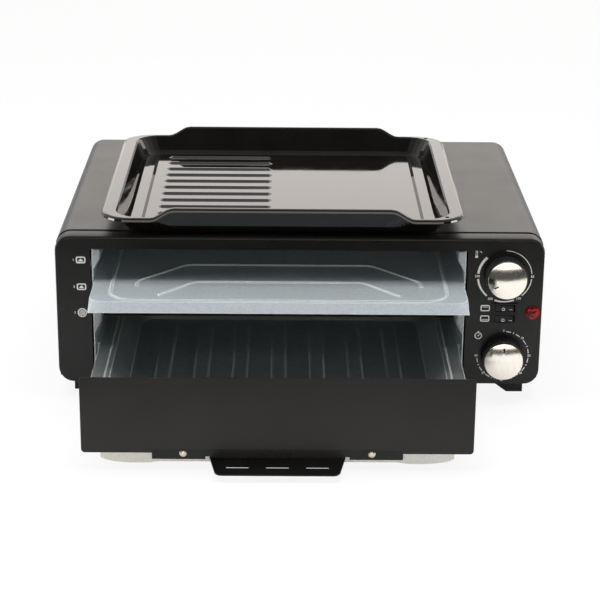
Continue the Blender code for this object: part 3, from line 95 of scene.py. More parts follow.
lens = bpy.data.cameras.new("camera")
lens.sensor_width = SENSOR_MM
lens.lens = FOCAL_PIXELS / IMAGE_PIXELS * SENSOR_MM
lens.clip_start = NEAREST_SEEN
camera = bpy.data.objects.new("camera", lens)
camera.matrix_world = aim(CAMERA_PLACE, CAMERA_PITCH, CAMERA_YAW, CAMERA_ROLL)
bpy.context.scene.collection.objects.link(camera)
bpy.context.scene.camera = camera
print("lens", round(lens.lens, 1), "mm")

# %% [markdown]
# ## The table and the room
# The oven stands on a white table that ends in front of it. That edge matters, because the bright
# knob caps and the black paint are mirrors: they show the table, and the dark room past its edge. The
# ground could simply glow white, but then it would light the oven from below. Here the Light Path
# node shows it white to the camera, and to mirrors only as far as its share of white says.

# %% A ground that the camera sees white
def studio_ground(name, colour, seen, mirrored):
    """Ground with its own colour, of which the camera and mirrors see a share as plain white."""
    made = bpy.data.materials.new(name)
    made.use_nodes = True
    tree = made.node_tree
    tree.nodes.clear()
    out = tree.nodes.new("ShaderNodeOutputMaterial")
    mixed = tree.nodes.new("ShaderNodeMixShader")
    path = tree.nodes.new("ShaderNodeLightPath")
    white = tree.nodes.new("ShaderNodeEmission")
    own = tree.nodes.new("ShaderNodeBsdfDiffuse")
    own.inputs["Color"].default_value = colour
    reflected = tree.nodes.new("ShaderNodeMath")
    reflected.operation = "MAXIMUM"
    tree.links.new(path.outputs["Is Glossy Ray"], reflected.inputs[0])
    tree.links.new(path.outputs["Is Transmission Ray"], reflected.inputs[1])
    shown = None
    for socket, share in ((path.outputs["Is Camera Ray"], seen), (reflected.outputs[0], mirrored)):
        part = tree.nodes.new("ShaderNodeMath")
        part.operation = "MULTIPLY_ADD"
        part.inputs[1].default_value = share
        part.inputs[2].default_value = 0
        tree.links.new(socket, part.inputs[0])
        if shown:
            tree.links.new(shown, part.inputs[2])
        shown = part.outputs[0]
    tree.links.new(shown, mixed.inputs["Fac"])
    tree.links.new(own.outputs[0], mixed.inputs[1])
    tree.links.new(white.outputs[0], mixed.inputs[2])
    tree.links.new(mixed.outputs[0], out.inputs["Surface"])
    return made


table_white = studio_ground("table_white", (0.86, 0.86, 0.86, 1), seen=0.88, mirrored=0.10)
room_dark = studio_ground("room_dark", (0.05, 0.05, 0.05, 1), seen=1, mirrored=0)
print("grounds", table_white.name, room_dark.name)

# %% Table and room floor
TABLE_FRONT = -0.45
ROOM = 9.0


def studio_slab(name, front, rear, skin):
    """Flat part of the ground at the height where the feet stand, as wide as the room."""
    sheet = bpy.data.meshes.new(name)
    corners = [(-ROOM, front, 0), (ROOM, front, 0), (ROOM, rear, 0), (-ROOM, rear, 0)]
    sheet.from_pydata(corners, [], [(0, 1, 2, 3)])
    slab = bpy.data.objects.new(name, sheet)
    slab.data.materials.append(skin)
    bpy.context.scene.collection.objects.link(slab)


studio_slab("table", TABLE_FRONT, ROOM, table_white)
studio_slab("room_floor", -ROOM, TABLE_FRONT, room_dark)
print("table ends at", TABLE_FRONT, "m")

# %% [markdown]
# ## Walls
# A studio is bright behind the object and dark behind the camera. Real walls could be built for that,
# but one world shader gives both: the direction of a ray, from the Generated coordinate, fades it from
# the dark end to the white wall. To the camera itself every wall is white.

# %% World
DARK_END = 0.04
BRIGHT_END = 0.78
FADE_REACH = 0.75


def studio_world(front, rear):
    """Light from all round, dark behind the camera and bright behind the object."""
    world = bpy.data.worlds.new("studio")
    bpy.context.scene.world = world
    world.use_nodes = True
    tree = world.node_tree
    place = tree.nodes.new("ShaderNodeTexCoord")
    split = tree.nodes.new("ShaderNodeSeparateXYZ")
    fade = tree.nodes.new("ShaderNodeMapRange")
    fade.interpolation_type = "SMOOTHSTEP"
    limits = {"From Min": -FADE_REACH, "From Max": FADE_REACH, "To Min": front, "To Max": rear}
    for socket, value in limits.items():
        fade.inputs[socket].default_value = value
    path = tree.nodes.new("ShaderNodeLightPath")
    lit = tree.nodes["Background"]
    white = tree.nodes.new("ShaderNodeBackground")
    for background in (lit, white):
        background.inputs["Color"].default_value = (1, 1, 1, 1)
    mix = tree.nodes.new("ShaderNodeMixShader")
    tree.links.new(place.outputs["Generated"], split.inputs[0])
    tree.links.new(split.outputs["Y"], fade.inputs["Value"])
    tree.links.new(fade.outputs[0], lit.inputs["Strength"])
    tree.links.new(path.outputs["Is Camera Ray"], mix.inputs["Fac"])
    tree.links.new(lit.outputs[0], mix.inputs[1])
    tree.links.new(white.outputs[0], mix.inputs[2])
    tree.links.new(mix.outputs[0], tree.nodes["World Output"].inputs["Surface"])


bpy.context.scene.view_settings.view_transform = "Standard"
studio_world(DARK_END, BRIGHT_END)
print("world light from", DARK_END, "to", BRIGHT_END)

# %% [markdown]
# ## Lamps
# The lamps are large and flat, as softboxes are, so that shadows fade slowly. The top one stands
# almost over the front: it lights the heat shield up to a soft edge under the frame. The rear one
# makes the roof and the pan shine. Mirrors don't show the top lamp, because its picture in the enamel
# would run as a bright band along the pan's rear wall, where the real pan is dark.

# %% Softboxes
REAR_LIGHT = (1.0, 0.91, 0.82)
FRONT_LIGHT = (1.0, 0.93, 0.85)


def softbox(name, place, target, size, watts, colour=(1, 1, 1)):
    """Large flat lamp aimed at a point."""
    lamp = bpy.data.lights.new(name, "AREA")
    lamp.shape = "RECTANGLE"
    lamp.size, lamp.size_y = size
    lamp.energy = watts
    lamp.color = colour
    holder = bpy.data.objects.new(name, lamp)
    holder.location = place
    holder.rotation_euler = (Vector(target) - Vector(place)).to_track_quat("-Z", "Y").to_euler()
    bpy.context.scene.collection.objects.link(holder)
    return holder


softbox("softbox_rear", (0.35, 2.6, 1.05), (0, 0.1, 0.15), (3.4, 1.0), 14, REAR_LIGHT)
softbox_top = softbox("softbox_top", (-0.2, -0.2, 2.2), (-0.2, -0.2, 0), (2.4, 0.9), 47)
softbox_top.visible_glossy = False
softbox("softbox_front", (0.2, -4.2, 0.82), (0.2, 0, 0.82), (4.4, 1.2), 38, FRONT_LIGHT)
for side, turn in (("left", -1), ("right", 1)):
    softbox(f"striplight_{side}", (turn * 2.4, -0.5, 0.7), (0, -0.1, 0.1), (0.35, 1.2), 15)
print("lamps", len(bpy.data.lights))

# %% [markdown]
# ## How a finish is written
# A real finish is never one flat colour: paint has orange peel, zinc has grain, plastic has a fine
# spark texture. Each could be a picture that is wrapped round the piece, but a picture needs an unwrap
# and shows its seams. Here each finish starts from one Principled shader, and small helpers add a
# grain in object space that moves its colour, its roughness or its surface. Values that are even over
# the whole piece stay on the shader's own sockets.

# %% Helpers for finishes
# Cosines between the bevelled and the flat normal where the painted bend highlight ends and where it is
# full.
BEND_NO_HIGHLIGHT = 0.997
BEND_FULL_HIGHLIGHT = 0.97
BEND_SAMPLES = 4


class Finish:
    """A Principled material that grows by one grain at a time, in metres of object space."""

    def __init__(self, name, colour, roughness, metallic=0.0, **even):
        self.material = bpy.data.materials.new(name)
        self.material.use_nodes = True
        self.tree = self.material.node_tree
        self.shader = self.tree.nodes["Principled BSDF"]
        self.shader.inputs["Base Color"].default_value = (*colour, 1)
        self.shader.inputs["Roughness"].default_value = roughness
        self.shader.inputs["Metallic"].default_value = metallic
        for socket, value in even.items():
            self.shader.inputs[socket.replace("_", " ")].default_value = value
        self.place = self.tree.nodes.new("ShaderNodeTexCoord").outputs["Object"]

    def node(self, kind, inputs, **settings):
        """Adds a node: an input that is another node's output is linked, any other is set."""
        made = self.tree.nodes.new(kind)
        for key, value in settings.items():
            setattr(made, key, value)
        for key, value in inputs.items():
            if isinstance(value, bpy.types.NodeSocket):
                self.tree.links.new(value, made.inputs[key])
            else:
                made.inputs[key].default_value = value
        return made

    def grain(self, size, detail=3.0, stretch=None):
        """Soft noise whose spots are about size metres across, longer where stretch is under 1."""
        place = self.place
        if stretch:
            place = self.node("ShaderNodeMapping", {"Vector": place, "Scale": stretch}).outputs[0]
        inputs = {"Vector": place, "Scale": 1 / size, "Detail": detail}
        return self.node("ShaderNodeTexNoise", inputs).outputs["Fac"]

    def flakes(self, size):
        """Patches of one grey each, as zinc crystals have; on the lens, painted glints and shade of its
        facets.
        """
        warp = self.node("ShaderNodeTexNoise", {"Vector": self.place, "Scale": 1 / size, "Detail": 2.0})
        inputs = {0: warp.outputs["Color"], 1: (size / 3,) * 3, 2: self.place}
        moved = self.node("ShaderNodeVectorMath", inputs, operation="MULTIPLY_ADD").outputs[0]
        cells = self.node("ShaderNodeTexVoronoi", {"Vector": moved, "Scale": 1 / size})
        return self.node("ShaderNodeSeparateColor", {"Color": cells.outputs["Color"]}).outputs[0]

    def between(self, factor, low, high, start=0.3, end=0.7):
        """Spreads the part of a factor from start to end over the values from low to high."""
        inputs = {"Value": factor, "From Min": start, "From Max": end, "To Min": low, "To Max": high}
        return self.node("ShaderNodeMapRange", inputs).outputs[0]

    def colour(self, factor, dark, light, start=0.3, end=0.7):
        """Lets the colour drift between two tints."""
        share = self.between(factor, 0, 1, start, end)
        mixed = self.node("ShaderNodeMix", {0: share, 6: (*dark, 1), 7: (*light, 1)}, data_type="RGBA")
        self.tree.links.new(mixed.outputs[2], self.shader.inputs["Base Color"])

    def roughness(self, factor, low, high):
        """Lets the gloss drift, so that a highlight has no even edge."""
        self.tree.links.new(self.between(factor, low, high), self.shader.inputs["Roughness"])

    def worn_edges(self, width, tint):
        """Painted highlight: thin pale, less metallic lines along the bends, standing in for the light
        they catch.

        The Bevel node turns the normal near a bend only, so a bend is where the two normals differ.
        """
        turned = self.node("ShaderNodeBevel", {"Radius": width}, samples=BEND_SAMPLES).outputs[0]
        flat = self.tree.nodes.new("ShaderNodeNewGeometry").outputs["Normal"]
        alike = self.node("ShaderNodeVectorMath", {0: turned, 1: flat}, operation="DOT_PRODUCT")
        # Painted highlight: a pale tint and less metal where the normals differ, at a bend.
        highlight_share = self.between(alike.outputs["Value"], 1, 0, BEND_FULL_HIGHLIGHT, BEND_NO_HIGHLIGHT)
        whole = self.shader.inputs["Base Color"]
        tints = {0: highlight_share, 6: whole.links[0].from_socket, 7: (*tint, 1)}
        mixed = self.node("ShaderNodeMix", tints, data_type="RGBA")
        self.tree.links.new(mixed.outputs[2], whole)
        metal = self.shader.inputs["Metallic"]
        self.tree.links.new(self.between(highlight_share, metal.default_value, 0, 0, 1), metal)

    def relief(self, height, depth):
        """Bump whose full swing is depth metres, on top of any bump that is there already."""
        inputs = {"Height": height, "Distance": depth}
        socket = self.shader.inputs["Normal"]
        if socket.links:
            inputs["Normal"] = socket.links[0].from_socket
        self.tree.links.new(self.node("ShaderNodeBump", inputs).outputs[0], socket)


print("helpers", ", ".join(name for name in vars(Finish) if not name.startswith("_")))

# %% [markdown]
# ## Black paint
# The housing is sheet steel with a baked satin powder coat. Its top looks grey only because it mirrors
# the bright wall behind the oven, so a grey colour would be wrong: it would stay grey from the front.
# The coat needs three scales: broad uneven gloss, orange peel of about a millimetre, and a fine grit
# that breaks up the highlights along the edges.

# %% Paint finishes
body_paint = Finish("satin_black_paint", (0.012, 0.0115, 0.011), 0.36, IOR=1.40)
body_paint.colour(body_paint.grain(0.02), (0.011, 0.0105, 0.010), (0.014, 0.0132, 0.0125))
body_paint.roughness(body_paint.grain(0.03, 4), 0.345, 0.375)
body_paint.relief(body_paint.grain(0.0014, 1), 0.000004)
body_paint.relief(body_paint.grain(0.00035, 1), 0.000003)

front_paint = Finish("satin_front_paint", (0.007, 0.0067, 0.0062), 0.28, IOR=1.38)
front_paint.colour(front_paint.grain(0.03), (0.005, 0.0047, 0.0043), (0.009, 0.0085, 0.0078))
front_paint.roughness(front_paint.grain(0.02, 4), 0.26, 0.34)
front_paint.relief(front_paint.grain(0.0010, 1), 0.000003)
front_paint.relief(front_paint.grain(0.0003, 1), 0.0000025)

drawer_paint = Finish("warm_black_drawer_paint", (0.011, 0.0098, 0.0082), 0.34, IOR=1.40)
drawer_paint.colour(drawer_paint.grain(0.04), (0.009, 0.0078, 0.0062), (0.013, 0.0115, 0.0095))
drawer_paint.roughness(drawer_paint.grain(0.025, 4), 0.31, 0.37)
drawer_paint.relief(drawer_paint.grain(0.0009, 2), 0.000005)
print("paints", body_paint.material.name, front_paint.material.name, drawer_paint.material.name)

# %% [markdown]
# ## Zinc sheet
# The heat shield, the tray and the cavity are galvanised: a cool grey with faint crystals and rolling
# lines. Paler, less metallic lines along the bends are a painted highlight, standing in for the light
# they catch. Voronoi cells make the crystals, since each cell is one even patch, as a crystal is.
# Pointiness could find the bends, but it depends on how finely a mesh is cut, so the Bevel node
# does it.

# %% Zinc finishes
zinc = Finish("galvanised_sheet", (0.56, 0.62, 0.65), 0.52, 0.50)
zinc.colour(zinc.flakes(0.0014), (0.52, 0.585, 0.62), (0.60, 0.665, 0.69), 0.0, 1.0)
zinc.roughness(zinc.grain(0.004, 3, (0.15, 1, 1)), 0.46, 0.58)
zinc.relief(zinc.grain(0.0008, 2), 0.000008)
# Painted highlight along the bends of the heat shield and the cavity.
zinc.worn_edges(0.0007, (0.97, 0.97, 0.93))

tray_zinc = Finish("galvanised_tray", (0.52, 0.57, 0.57), 0.36, 0.85)
tray_zinc.colour(tray_zinc.flakes(0.004), (0.49, 0.54, 0.54), (0.55, 0.60, 0.60), 0.0, 1.0)
tray_zinc.roughness(tray_zinc.grain(0.004, 3, (0.15, 1, 1)), 0.31, 0.41)
tray_zinc.relief(tray_zinc.grain(0.0010, 2), 0.000005)
# Painted highlight along the bends and ribs of the tray.
tray_zinc.worn_edges(0.0010, (0.95, 0.90, 0.82))

skid_zinc = Finish("pale_galvanised_skid", (0.72, 0.71, 0.66), 0.50, 0.35)
skid_zinc.colour(skid_zinc.grain(0.0012, 3), (0.68, 0.67, 0.62), (0.79, 0.78, 0.73))
skid_zinc.relief(skid_zinc.grain(0.0007, 2), 0.00001)
print("zinc", zinc.material.name, tray_zinc.material.name, skid_zinc.material.name)

# %% [markdown]
# ## Enamel, caps and rods
# The pan is vitreous enamel, almost a mirror, with slow ripples where it ran in the kiln. The caps are
# brushed aluminium. Brush lines could be cut as grooves, but a grain that is some ten times longer in
# one direction gives them without a single extra face. The rods are steel tubes, browned by heat.

# %% Enamel and metal finishes
enamel = Finish("black_enamel", (0.006, 0.0052, 0.0048), 0.05, IOR=1.56)
enamel.colour(enamel.grain(0.04), (0.005, 0.0042, 0.0038), (0.009, 0.0075, 0.0065))
enamel.roughness(enamel.grain(0.02, 3), 0.035, 0.075)
enamel.relief(enamel.grain(0.020, 1), 0.00002)
enamel.relief(enamel.grain(0.0018, 1), 0.0000015)

cap_metal = Finish("brushed_aluminium", (0.90, 0.84, 0.76), 0.14, 1.0)
cap_metal.colour(cap_metal.grain(0.0010, 2, (1, 1, 0.10)), (0.86, 0.80, 0.72), (0.94, 0.885, 0.81))
cap_metal.roughness(cap_metal.grain(0.0009, 2, (1, 1, 0.12)), 0.11, 0.17)
cap_metal.relief(cap_metal.grain(0.0006, 1, (1, 1, 0.05)), 0.0000003)

rivet_metal = Finish("rivet_aluminium", (0.75, 0.66, 0.52), 0.25, 1.0)
rivet_metal.roughness(rivet_metal.grain(0.001), 0.2, 0.35)

rod_metal = Finish("heat_browned_rod", (0.09, 0.065, 0.05), 0.45, 0.8)
rod_metal.colour(rod_metal.grain(0.012), (0.05, 0.036, 0.03), (0.16, 0.115, 0.08))
rod_metal.relief(rod_metal.grain(0.0008, 2), 0.00001)

plated = Finish("zinc_plated_part", (0.52, 0.53, 0.53), 0.38, 0.9)
plated.colour(plated.grain(0.006), (0.46, 0.47, 0.47), (0.58, 0.58, 0.56))
print("metals", cap_metal.material.name, rivet_metal.material.name, rod_metal.material.name)

# %% [markdown]
# ## Plastic, rubber, ceramic and print
# Moulded plastic takes the fine spark texture of its mould, rubber and ceramic are dull and powdery.
# The pilot lamp is clear red plastic with facets inside. Clear plastic that really bends light would
# show the dark body behind it, so patches of dark and bright red, raised a little, are painted shade
# and painted glints of the facets. The print is a dull white ink, and the pointers are a duller
# black.

# %% Plastic, rubber and ceramic finishes
knob_plastic = Finish("black_knob_plastic", (0.010, 0.010, 0.011), 0.42)
knob_plastic.roughness(knob_plastic.grain(0.004), 0.36, 0.48)
knob_plastic.relief(knob_plastic.grain(0.0003, 1), 0.000006)

switch_plastic = Finish("black_switch_plastic", (0.007, 0.007, 0.0075), 0.36, IOR=1.36)
switch_plastic.roughness(switch_plastic.grain(0.003), 0.30, 0.42)
switch_plastic.relief(switch_plastic.grain(0.00025, 1), 0.000004)

rubber = Finish("black_rubber", (0.010, 0.010, 0.010), 0.75)
rubber.colour(rubber.grain(0.005), (0.008, 0.008, 0.008), (0.016, 0.015, 0.014))
rubber.relief(rubber.grain(0.0006, 2), 0.00002)

ceramic = Finish("steatite", (0.78, 0.74, 0.66), 0.55)
ceramic.colour(ceramic.grain(0.004), (0.72, 0.68, 0.60), (0.82, 0.79, 0.72))
ceramic.relief(ceramic.grain(0.0007, 2), 0.00001)

housing = Finish("moulded_housing", (0.40, 0.40, 0.39), 0.5)
housing.colour(housing.grain(0.01), (0.36, 0.36, 0.35), (0.45, 0.45, 0.44))
print("plastics", knob_plastic.material.name, switch_plastic.material.name, housing.material.name)

# %% Lens and print finishes
red_lens = Finish("red_lens", (0.30, 0.006, 0.008), 0.20, IOR=1.36)
# Painted shade and painted glints: dark and bright red patches stand in for the light through the
# facets.
red_lens.colour(red_lens.flakes(0.0022), (0.03, 0.0005, 0.001), (0.52, 0.012, 0.012), 0.0, 1.0)
red_lens.relief(red_lens.flakes(0.0022), 0.00025)

ink = Finish("white_print", (0.93, 0.93, 0.92), 0.55)
ink.colour(ink.grain(0.0008), (0.88, 0.88, 0.87), (0.96, 0.96, 0.95))

mark_ink = Finish("black_mark_paint", (0.008, 0.008, 0.008), 0.8, IOR=1.2)
mark_ink.colour(mark_ink.grain(0.0006), (0.005, 0.005, 0.005), (0.012, 0.012, 0.012))
print("materials in all", len(bpy.data.materials))

# %% [markdown]
# ## Finish the packed pieces
# The packed pieces are exact but faceted, with hard edges. Pressed and moulded parts have small radii,
# and those catch the light. They could be cut into the mesh, but the packed mesh has to stay as it is,
# so a Bevel modifier rounds the sharp edges, and smooth shading hides the facets of the curved parts.

# %% A coat for one piece
WELD_DISTANCE = 0.00001
FLAT_ANGLE = math.radians(0.5)
SHARP_DEGREES = 28
EDGE_SEGMENTS = 2
LARGE_FACES_LEAD = 100


def coat(node, finish, edge_round=0.0, edge_degrees=SHARP_DEGREES):
    """Gives a packed node its finish, smooth shading and, where it shows, rounded edges."""
    piece = NODES[node]
    piece.data.materials.clear()
    piece.data.materials.append(finish.material)
    if piece.data.has_custom_normals:
        piece.data.attributes.remove(piece.data.attributes["custom_normal"])
    piece.data.polygons.foreach_set("use_smooth", [True] * len(piece.data.polygons))
    weld = piece.modifiers.new("weld", "WELD")
    weld.merge_threshold = WELD_DISTANCE
    if edge_round:
        flat = piece.modifiers.new("flat", "DECIMATE")
        flat.decimate_type = "DISSOLVE"
        flat.angle_limit = FLAT_ANGLE
        bevel = piece.modifiers.new("edges", "BEVEL")
        bevel.width = edge_round
        bevel.segments = EDGE_SEGMENTS
        bevel.angle_limit = math.radians(edge_degrees)
        bevel.harden_normals = True
        bevel.use_clamp_overlap = True
    else:
        split = piece.modifiers.new("edges", "EDGE_SPLIT")
        split.split_angle = math.radians(SHARP_DEGREES)
        split.use_edge_sharp = False
        even = piece.modifiers.new("even", "WEIGHTED_NORMAL")
        even.weight = LARGE_FACES_LEAD
        even.keep_sharp = True


coat("outer_shell", body_paint, 0.0004)
print("outer_shell has", [modifier.name for modifier in NODES["outer_shell"].modifiers])

# %% Coat the other pieces
SIDES = ("left", "right")
LEVELS = ("upper", "lower")
ENDS = ("front", "rear")
DIALS = ("temperature", "timer")
COATS = {
    body_paint: ["front_frame", "back_panel"],
    front_paint: ["front_plate", "handle_strip"],
    drawer_paint: ["drawer_front"],
    zinc: ["base_plate", "cavity_ceiling", "cavity_back_wall", "divider_plate"]
          + [f"cavity_{side}_wall" for side in SIDES] + [f"drawer_rail_{side}" for side in SIDES],
    tray_zinc: ["drawer_tray"],
    skid_zinc: ["drawer_apron"],
    enamel: ["grill_pan"],
    cap_metal: [f"{dial}_knob_cap" for dial in DIALS],
    rivet_metal: [f"strip_rivet_{side}" for side in SIDES],
    rod_metal: [f"heating_rod_{level}_{end}" for level in LEVELS for end in ENDS],
    plated: ["timer_bell"] + [f"{dial}_shaft" for dial in DIALS],
    knob_plastic: [f"{dial}_knob_skirt" for dial in DIALS] + ["cord_gland", "lamp_body"],
    switch_plastic: [f"{level}_{part}" for level in LEVELS for part in ("switch_body", "rocker")],
    rubber: [f"foot_{end}_{side}" for end in ENDS for side in SIDES],
    ceramic: ["terminal_block"] + [f"bush_{level}_{end}_{side}" for level in LEVELS for end in ENDS
                                   for side in SIDES],
    housing: ["thermostat_body", "timer_body"],
    red_lens: ["lamp_lens"],
}
EDGE_ROUND = {
    "front_frame": (0.0005,), "front_plate": (0.00035,), "drawer_front": (0.0005,),
    "handle_strip": (0.0003,), "temperature_knob_skirt": (0.0002,), "timer_knob_skirt": (0.0002,),
    "upper_rocker": (0.00025,), "lower_rocker": (0.00025,), "drawer_apron": (0.0003,),
    "drawer_tray": (0.0005, 20), "grill_pan": (0.0003, 12),
}
for finish, names in COATS.items():
    for name in names:
        coat(name, finish, *EDGE_ROUND.get(name, ()))
print("coated", 1 + sum(len(names) for names in COATS.values()), "of", len(NODES))

# %% [markdown]
# ## Printing on the control panel
# The scales round the dials, the level marks beside the opening and the small heating signs are screen
# print: a white film a few hundredths of a millimetre thick. It could be painted with a texture, but a
# film with real outlines stays sharp at any distance. Only plain numbers and plain signs are printed.

# %% Where a print lies
PLATE_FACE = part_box("front_plate")[0].y
PLATE_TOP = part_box("front_plate")[1].z


def drop_onto(node, x, z):
    """World Y of a packed piece's front face straight behind the point (x, z)."""
    shape = NODES[node].data
    start, ahead = Vector((x, -1, z)), Vector((0, 1, 0))
    found = []
    for face in shape.polygons:
        corners = [shape.vertices[index].co for index in face.vertices[:3]]
        where = intersect_ray_tri(*corners, ahead, start)
        if where:
            found.append(where.y)
    return min(found)


print("plate face", round(PLATE_FACE, 5), "plate top", round(PLATE_TOP, 5))

# %% From outlines to a piece
FILM = 0.00006
FILM_DEPTH = 0.9 * FILM


def lay(name, sheet, finish, body):
    """Makes a piece from a mesh and lets it ride on a body."""
    sheet.materials.clear()
    sheet.materials.append(finish.material)
    piece = bpy.data.objects.new(name, sheet)
    bpy.context.scene.collection.objects.link(piece)
    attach(piece, body)


def lay_closed(name, made, depth, finish, body):
    """Gives the faces of a bmesh a depth towards the rear, which closes them, and lays the piece."""
    grown = bmesh.ops.extrude_face_region(made, geom=made.faces[:])
    moved = [v for v in grown["geom"] if isinstance(v, bmesh.types.BMVert)]
    bmesh.ops.translate(made, verts=moved, vec=(0, depth, 0))
    bmesh.ops.recalc_face_normals(made, faces=made.faces[:])
    sheet = bpy.data.meshes.new(name)
    made.to_mesh(sheet)
    made.free()
    lay(name, sheet, finish, body)


def film(name, outlines, on_node=None, body="oven_body"):
    """Thin closed film just in front of the plate, or of a node, from convex outlines of (x, z)."""
    made = bmesh.new()
    for outline in outlines:
        corners = []
        for x, z in outline:
            face = drop_onto(on_node, x, z) if on_node else PLATE_FACE
            corners.append(made.verts.new((x, face - FILM, z)))
        made.faces.new(corners)
    lay_closed(name, made, FILM_DEPTH, ink, body)


print("film", FILM * 1000, "mm in front of its face")

# %% [markdown]
# ## Strokes, dots and frames
# A sign could be drawn as one outline, but Blender fills only convex faces safely. Each stroke is
# therefore a row of quads between two rows of points, and a dot is one face of twelve corners.

# %% Outline helpers
def round_dial(centre, radius, clock_degrees):
    """Point at a clock angle round a dial, seen from the front."""
    angle = math.radians(clock_degrees)
    return centre[0] + radius * math.sin(angle), centre[1] + radius * math.cos(angle)


def quads(outer, inner):
    """Row of four-cornered outlines between two rows of points."""
    pairs = list(zip(outer, inner))
    return [[one[0], two[0], two[1], one[1]] for one, two in zip(pairs, pairs[1:])]


def strokes(centre, radius, start, end, start_width, end_width, step=4):
    """Curved stripe between two clock angles, whose width may grow."""
    count = max(2, round(abs(end - start) / step))
    outer, inner = [], []
    for index in range(count + 1):
        share = index / count
        angle = start + (end - start) * share
        half = (start_width + (end_width - start_width) * share) / 2
        outer.append(round_dial(centre, radius + half, angle))
        inner.append(round_dial(centre, radius - half, angle))
    return quads(outer, inner)


def ring(centre, radius, width, step):
    """Stripe all round, with a corner every step degrees."""
    return strokes(centre, radius, 0, 360, width, width, step)


def line(one, two, width):
    """Straight stroke between two points."""
    run = Vector(two) - Vector(one)
    across = Vector((-run.y, run.x)).normalized() * width / 2
    return [tuple(Vector(point) + side) for point, side in
            ((one, across), (two, across), (two, -across), (one, -across))]


def spot(centre, radius):
    """Filled dot."""
    return [round_dial(centre, radius, turn) for turn in range(0, 360, 30)]


print("a dot of 1 mm starts at", spot((0, 0), 0.001)[0])

# %% Frames
INNER_CORNER = 0.8


def rounded_loop(centre, width, height, corner):
    """Points of a rounded rectangle, clockwise from the top of its upper right corner."""
    points = []
    for side, up, start in ((1, 1, 0), (1, -1, 90), (-1, -1, 180), (-1, 1, 270)):
        middle = (centre[0] + side * (width / 2 - corner), centre[1] + up * (height / 2 - corner))
        points += [round_dial(middle, corner, start + turn) for turn in (0, 30, 60, 90)]
    return points


def frame_sign(centre, width, height, corner, stroke):
    """Rounded frame whose inner corners stay a little rounder than an even stroke makes them."""
    outer = rounded_loop(centre, width, height, corner)
    inner = rounded_loop(centre, width - 2 * stroke, height - 2 * stroke, corner - INNER_CORNER * stroke)
    return quads(outer + outer[:1], inner + inner[:1])


print("a frame has", len(frame_sign((0, 0), 0.008, 0.006, 0.0016, 0.001)), "quads")

# %% [markdown]
# ## Scales round the dials
# The temperature scale is an arc in five stretches, and it grows wider as the oven gets hotter. The
# timer has a short stripe for every five minutes and a tick where no number stands. The numbers are
# Text objects turned into meshes, because a font draws them better than strokes by hand.

# %% Numbers
DIGIT_HEIGHT = 0.0021
FONT_PER_HEIGHT = 1.4
DIGIT_BOLD = 0.00005
DIGIT_SMOOTH = 3


def digits(name, words, centre):
    """Numbers as closed meshes, centred on (x, z) of the plate."""
    curve = bpy.data.curves.new(name, "FONT")
    curve.body = words
    curve.size = DIGIT_HEIGHT * FONT_PER_HEIGHT
    curve.align_x = curve.align_y = "CENTER"
    curve.extrude = FILM / 2
    curve.resolution_u = DIGIT_SMOOTH
    curve.offset = DIGIT_BOLD
    holder = bpy.data.objects.new(name, curve)
    bpy.context.scene.collection.objects.link(holder)
    bpy.context.view_layer.update()
    sheet = bpy.data.meshes.new_from_object(holder)
    bpy.data.objects.remove(holder)
    sheet.transform(Matrix.Rotation(math.radians(90), 4, "X"))
    sheet.transform(Matrix.Translation((centre[0], PLATE_FACE - FILM / 2, centre[1])))
    lay(name, sheet, ink, "oven_body")


print("digits", round(DIGIT_HEIGHT * 1000, 1), "mm high")

# %% Temperature scale
TEMPERATURE_SCALE = (0.1797, PLATE_TOP - 0.0314)
ARC_RADIUS = 0.0236
NUMBER_OUT = 0.0006
ARC_STRETCHES = ((1, 84, 0.0005, 0.0007), (96, 139, 0.0007, 0.0010), (158, 200, 0.0011, 0.0014),
                 (220, 264, 0.0015, 0.0018), (276, 317, 0.0020, 0.0025))
temperature_marks = []
for start, end, first, last in ARC_STRETCHES:
    temperature_marks += strokes(TEMPERATURE_SCALE, ARC_RADIUS, start, end, first, last)
film("temperature_scale_print", temperature_marks)
for words, angle in (("65", 90), ("150", 148), ("200", 210), ("230", 270)):
    place = round_dial(TEMPERATURE_SCALE, ARC_RADIUS + NUMBER_OUT, angle)
    digits(f"temperature_{words}_print", words, place)
print("temperature scale", len(temperature_marks), "quads")

# %% Timer scale
TIMER_SCALE = (0.1809, PLATE_TOP - 0.1058)
TICK_RADIUS = 0.0229
MINUTE_TURN = 270 / 60
STRIPE_FROM, STRIPE_TO = 1.3, 3.7
STRIPE_WIDTH = 0.0008
TICK_REACH = 0.0009
TICK_WIDTH = 0.0006
timer_marks = []
for minute in range(0, 60, 5):
    timer_marks += strokes(TIMER_SCALE, TICK_RADIUS, (minute + STRIPE_FROM) * MINUTE_TURN,
                           (minute + STRIPE_TO) * MINUTE_TURN, STRIPE_WIDTH, STRIPE_WIDTH)
film("timer_scale_print", timer_marks)
for minute in range(0, 61, 10):
    place = round_dial(TIMER_SCALE, TICK_RADIUS + NUMBER_OUT, minute * MINUTE_TURN)
    digits(f"timer_{minute}_print", str(minute), place)
timer_ticks = []
for minute in range(5, 60, 10):
    inner, outer = (round_dial(TIMER_SCALE, TICK_RADIUS + reach, minute * MINUTE_TURN)
                    for reach in (-TICK_REACH, TICK_REACH))
    timer_ticks.append(line(inner, outer, TICK_WIDTH))
film("timer_tick_print", timer_ticks)
print("timer scale", len(timer_marks), "quads and", len(timer_ticks), "ticks")

# %% [markdown]
# ## Signs beside the opening
# Three signs with a number stand where the rack levels are: a loaf in a frame, another one, and a
# sliced pizza. They are drawn from rings, frames and lines of the same film, with few points, because
# each is only eight millimetres wide.

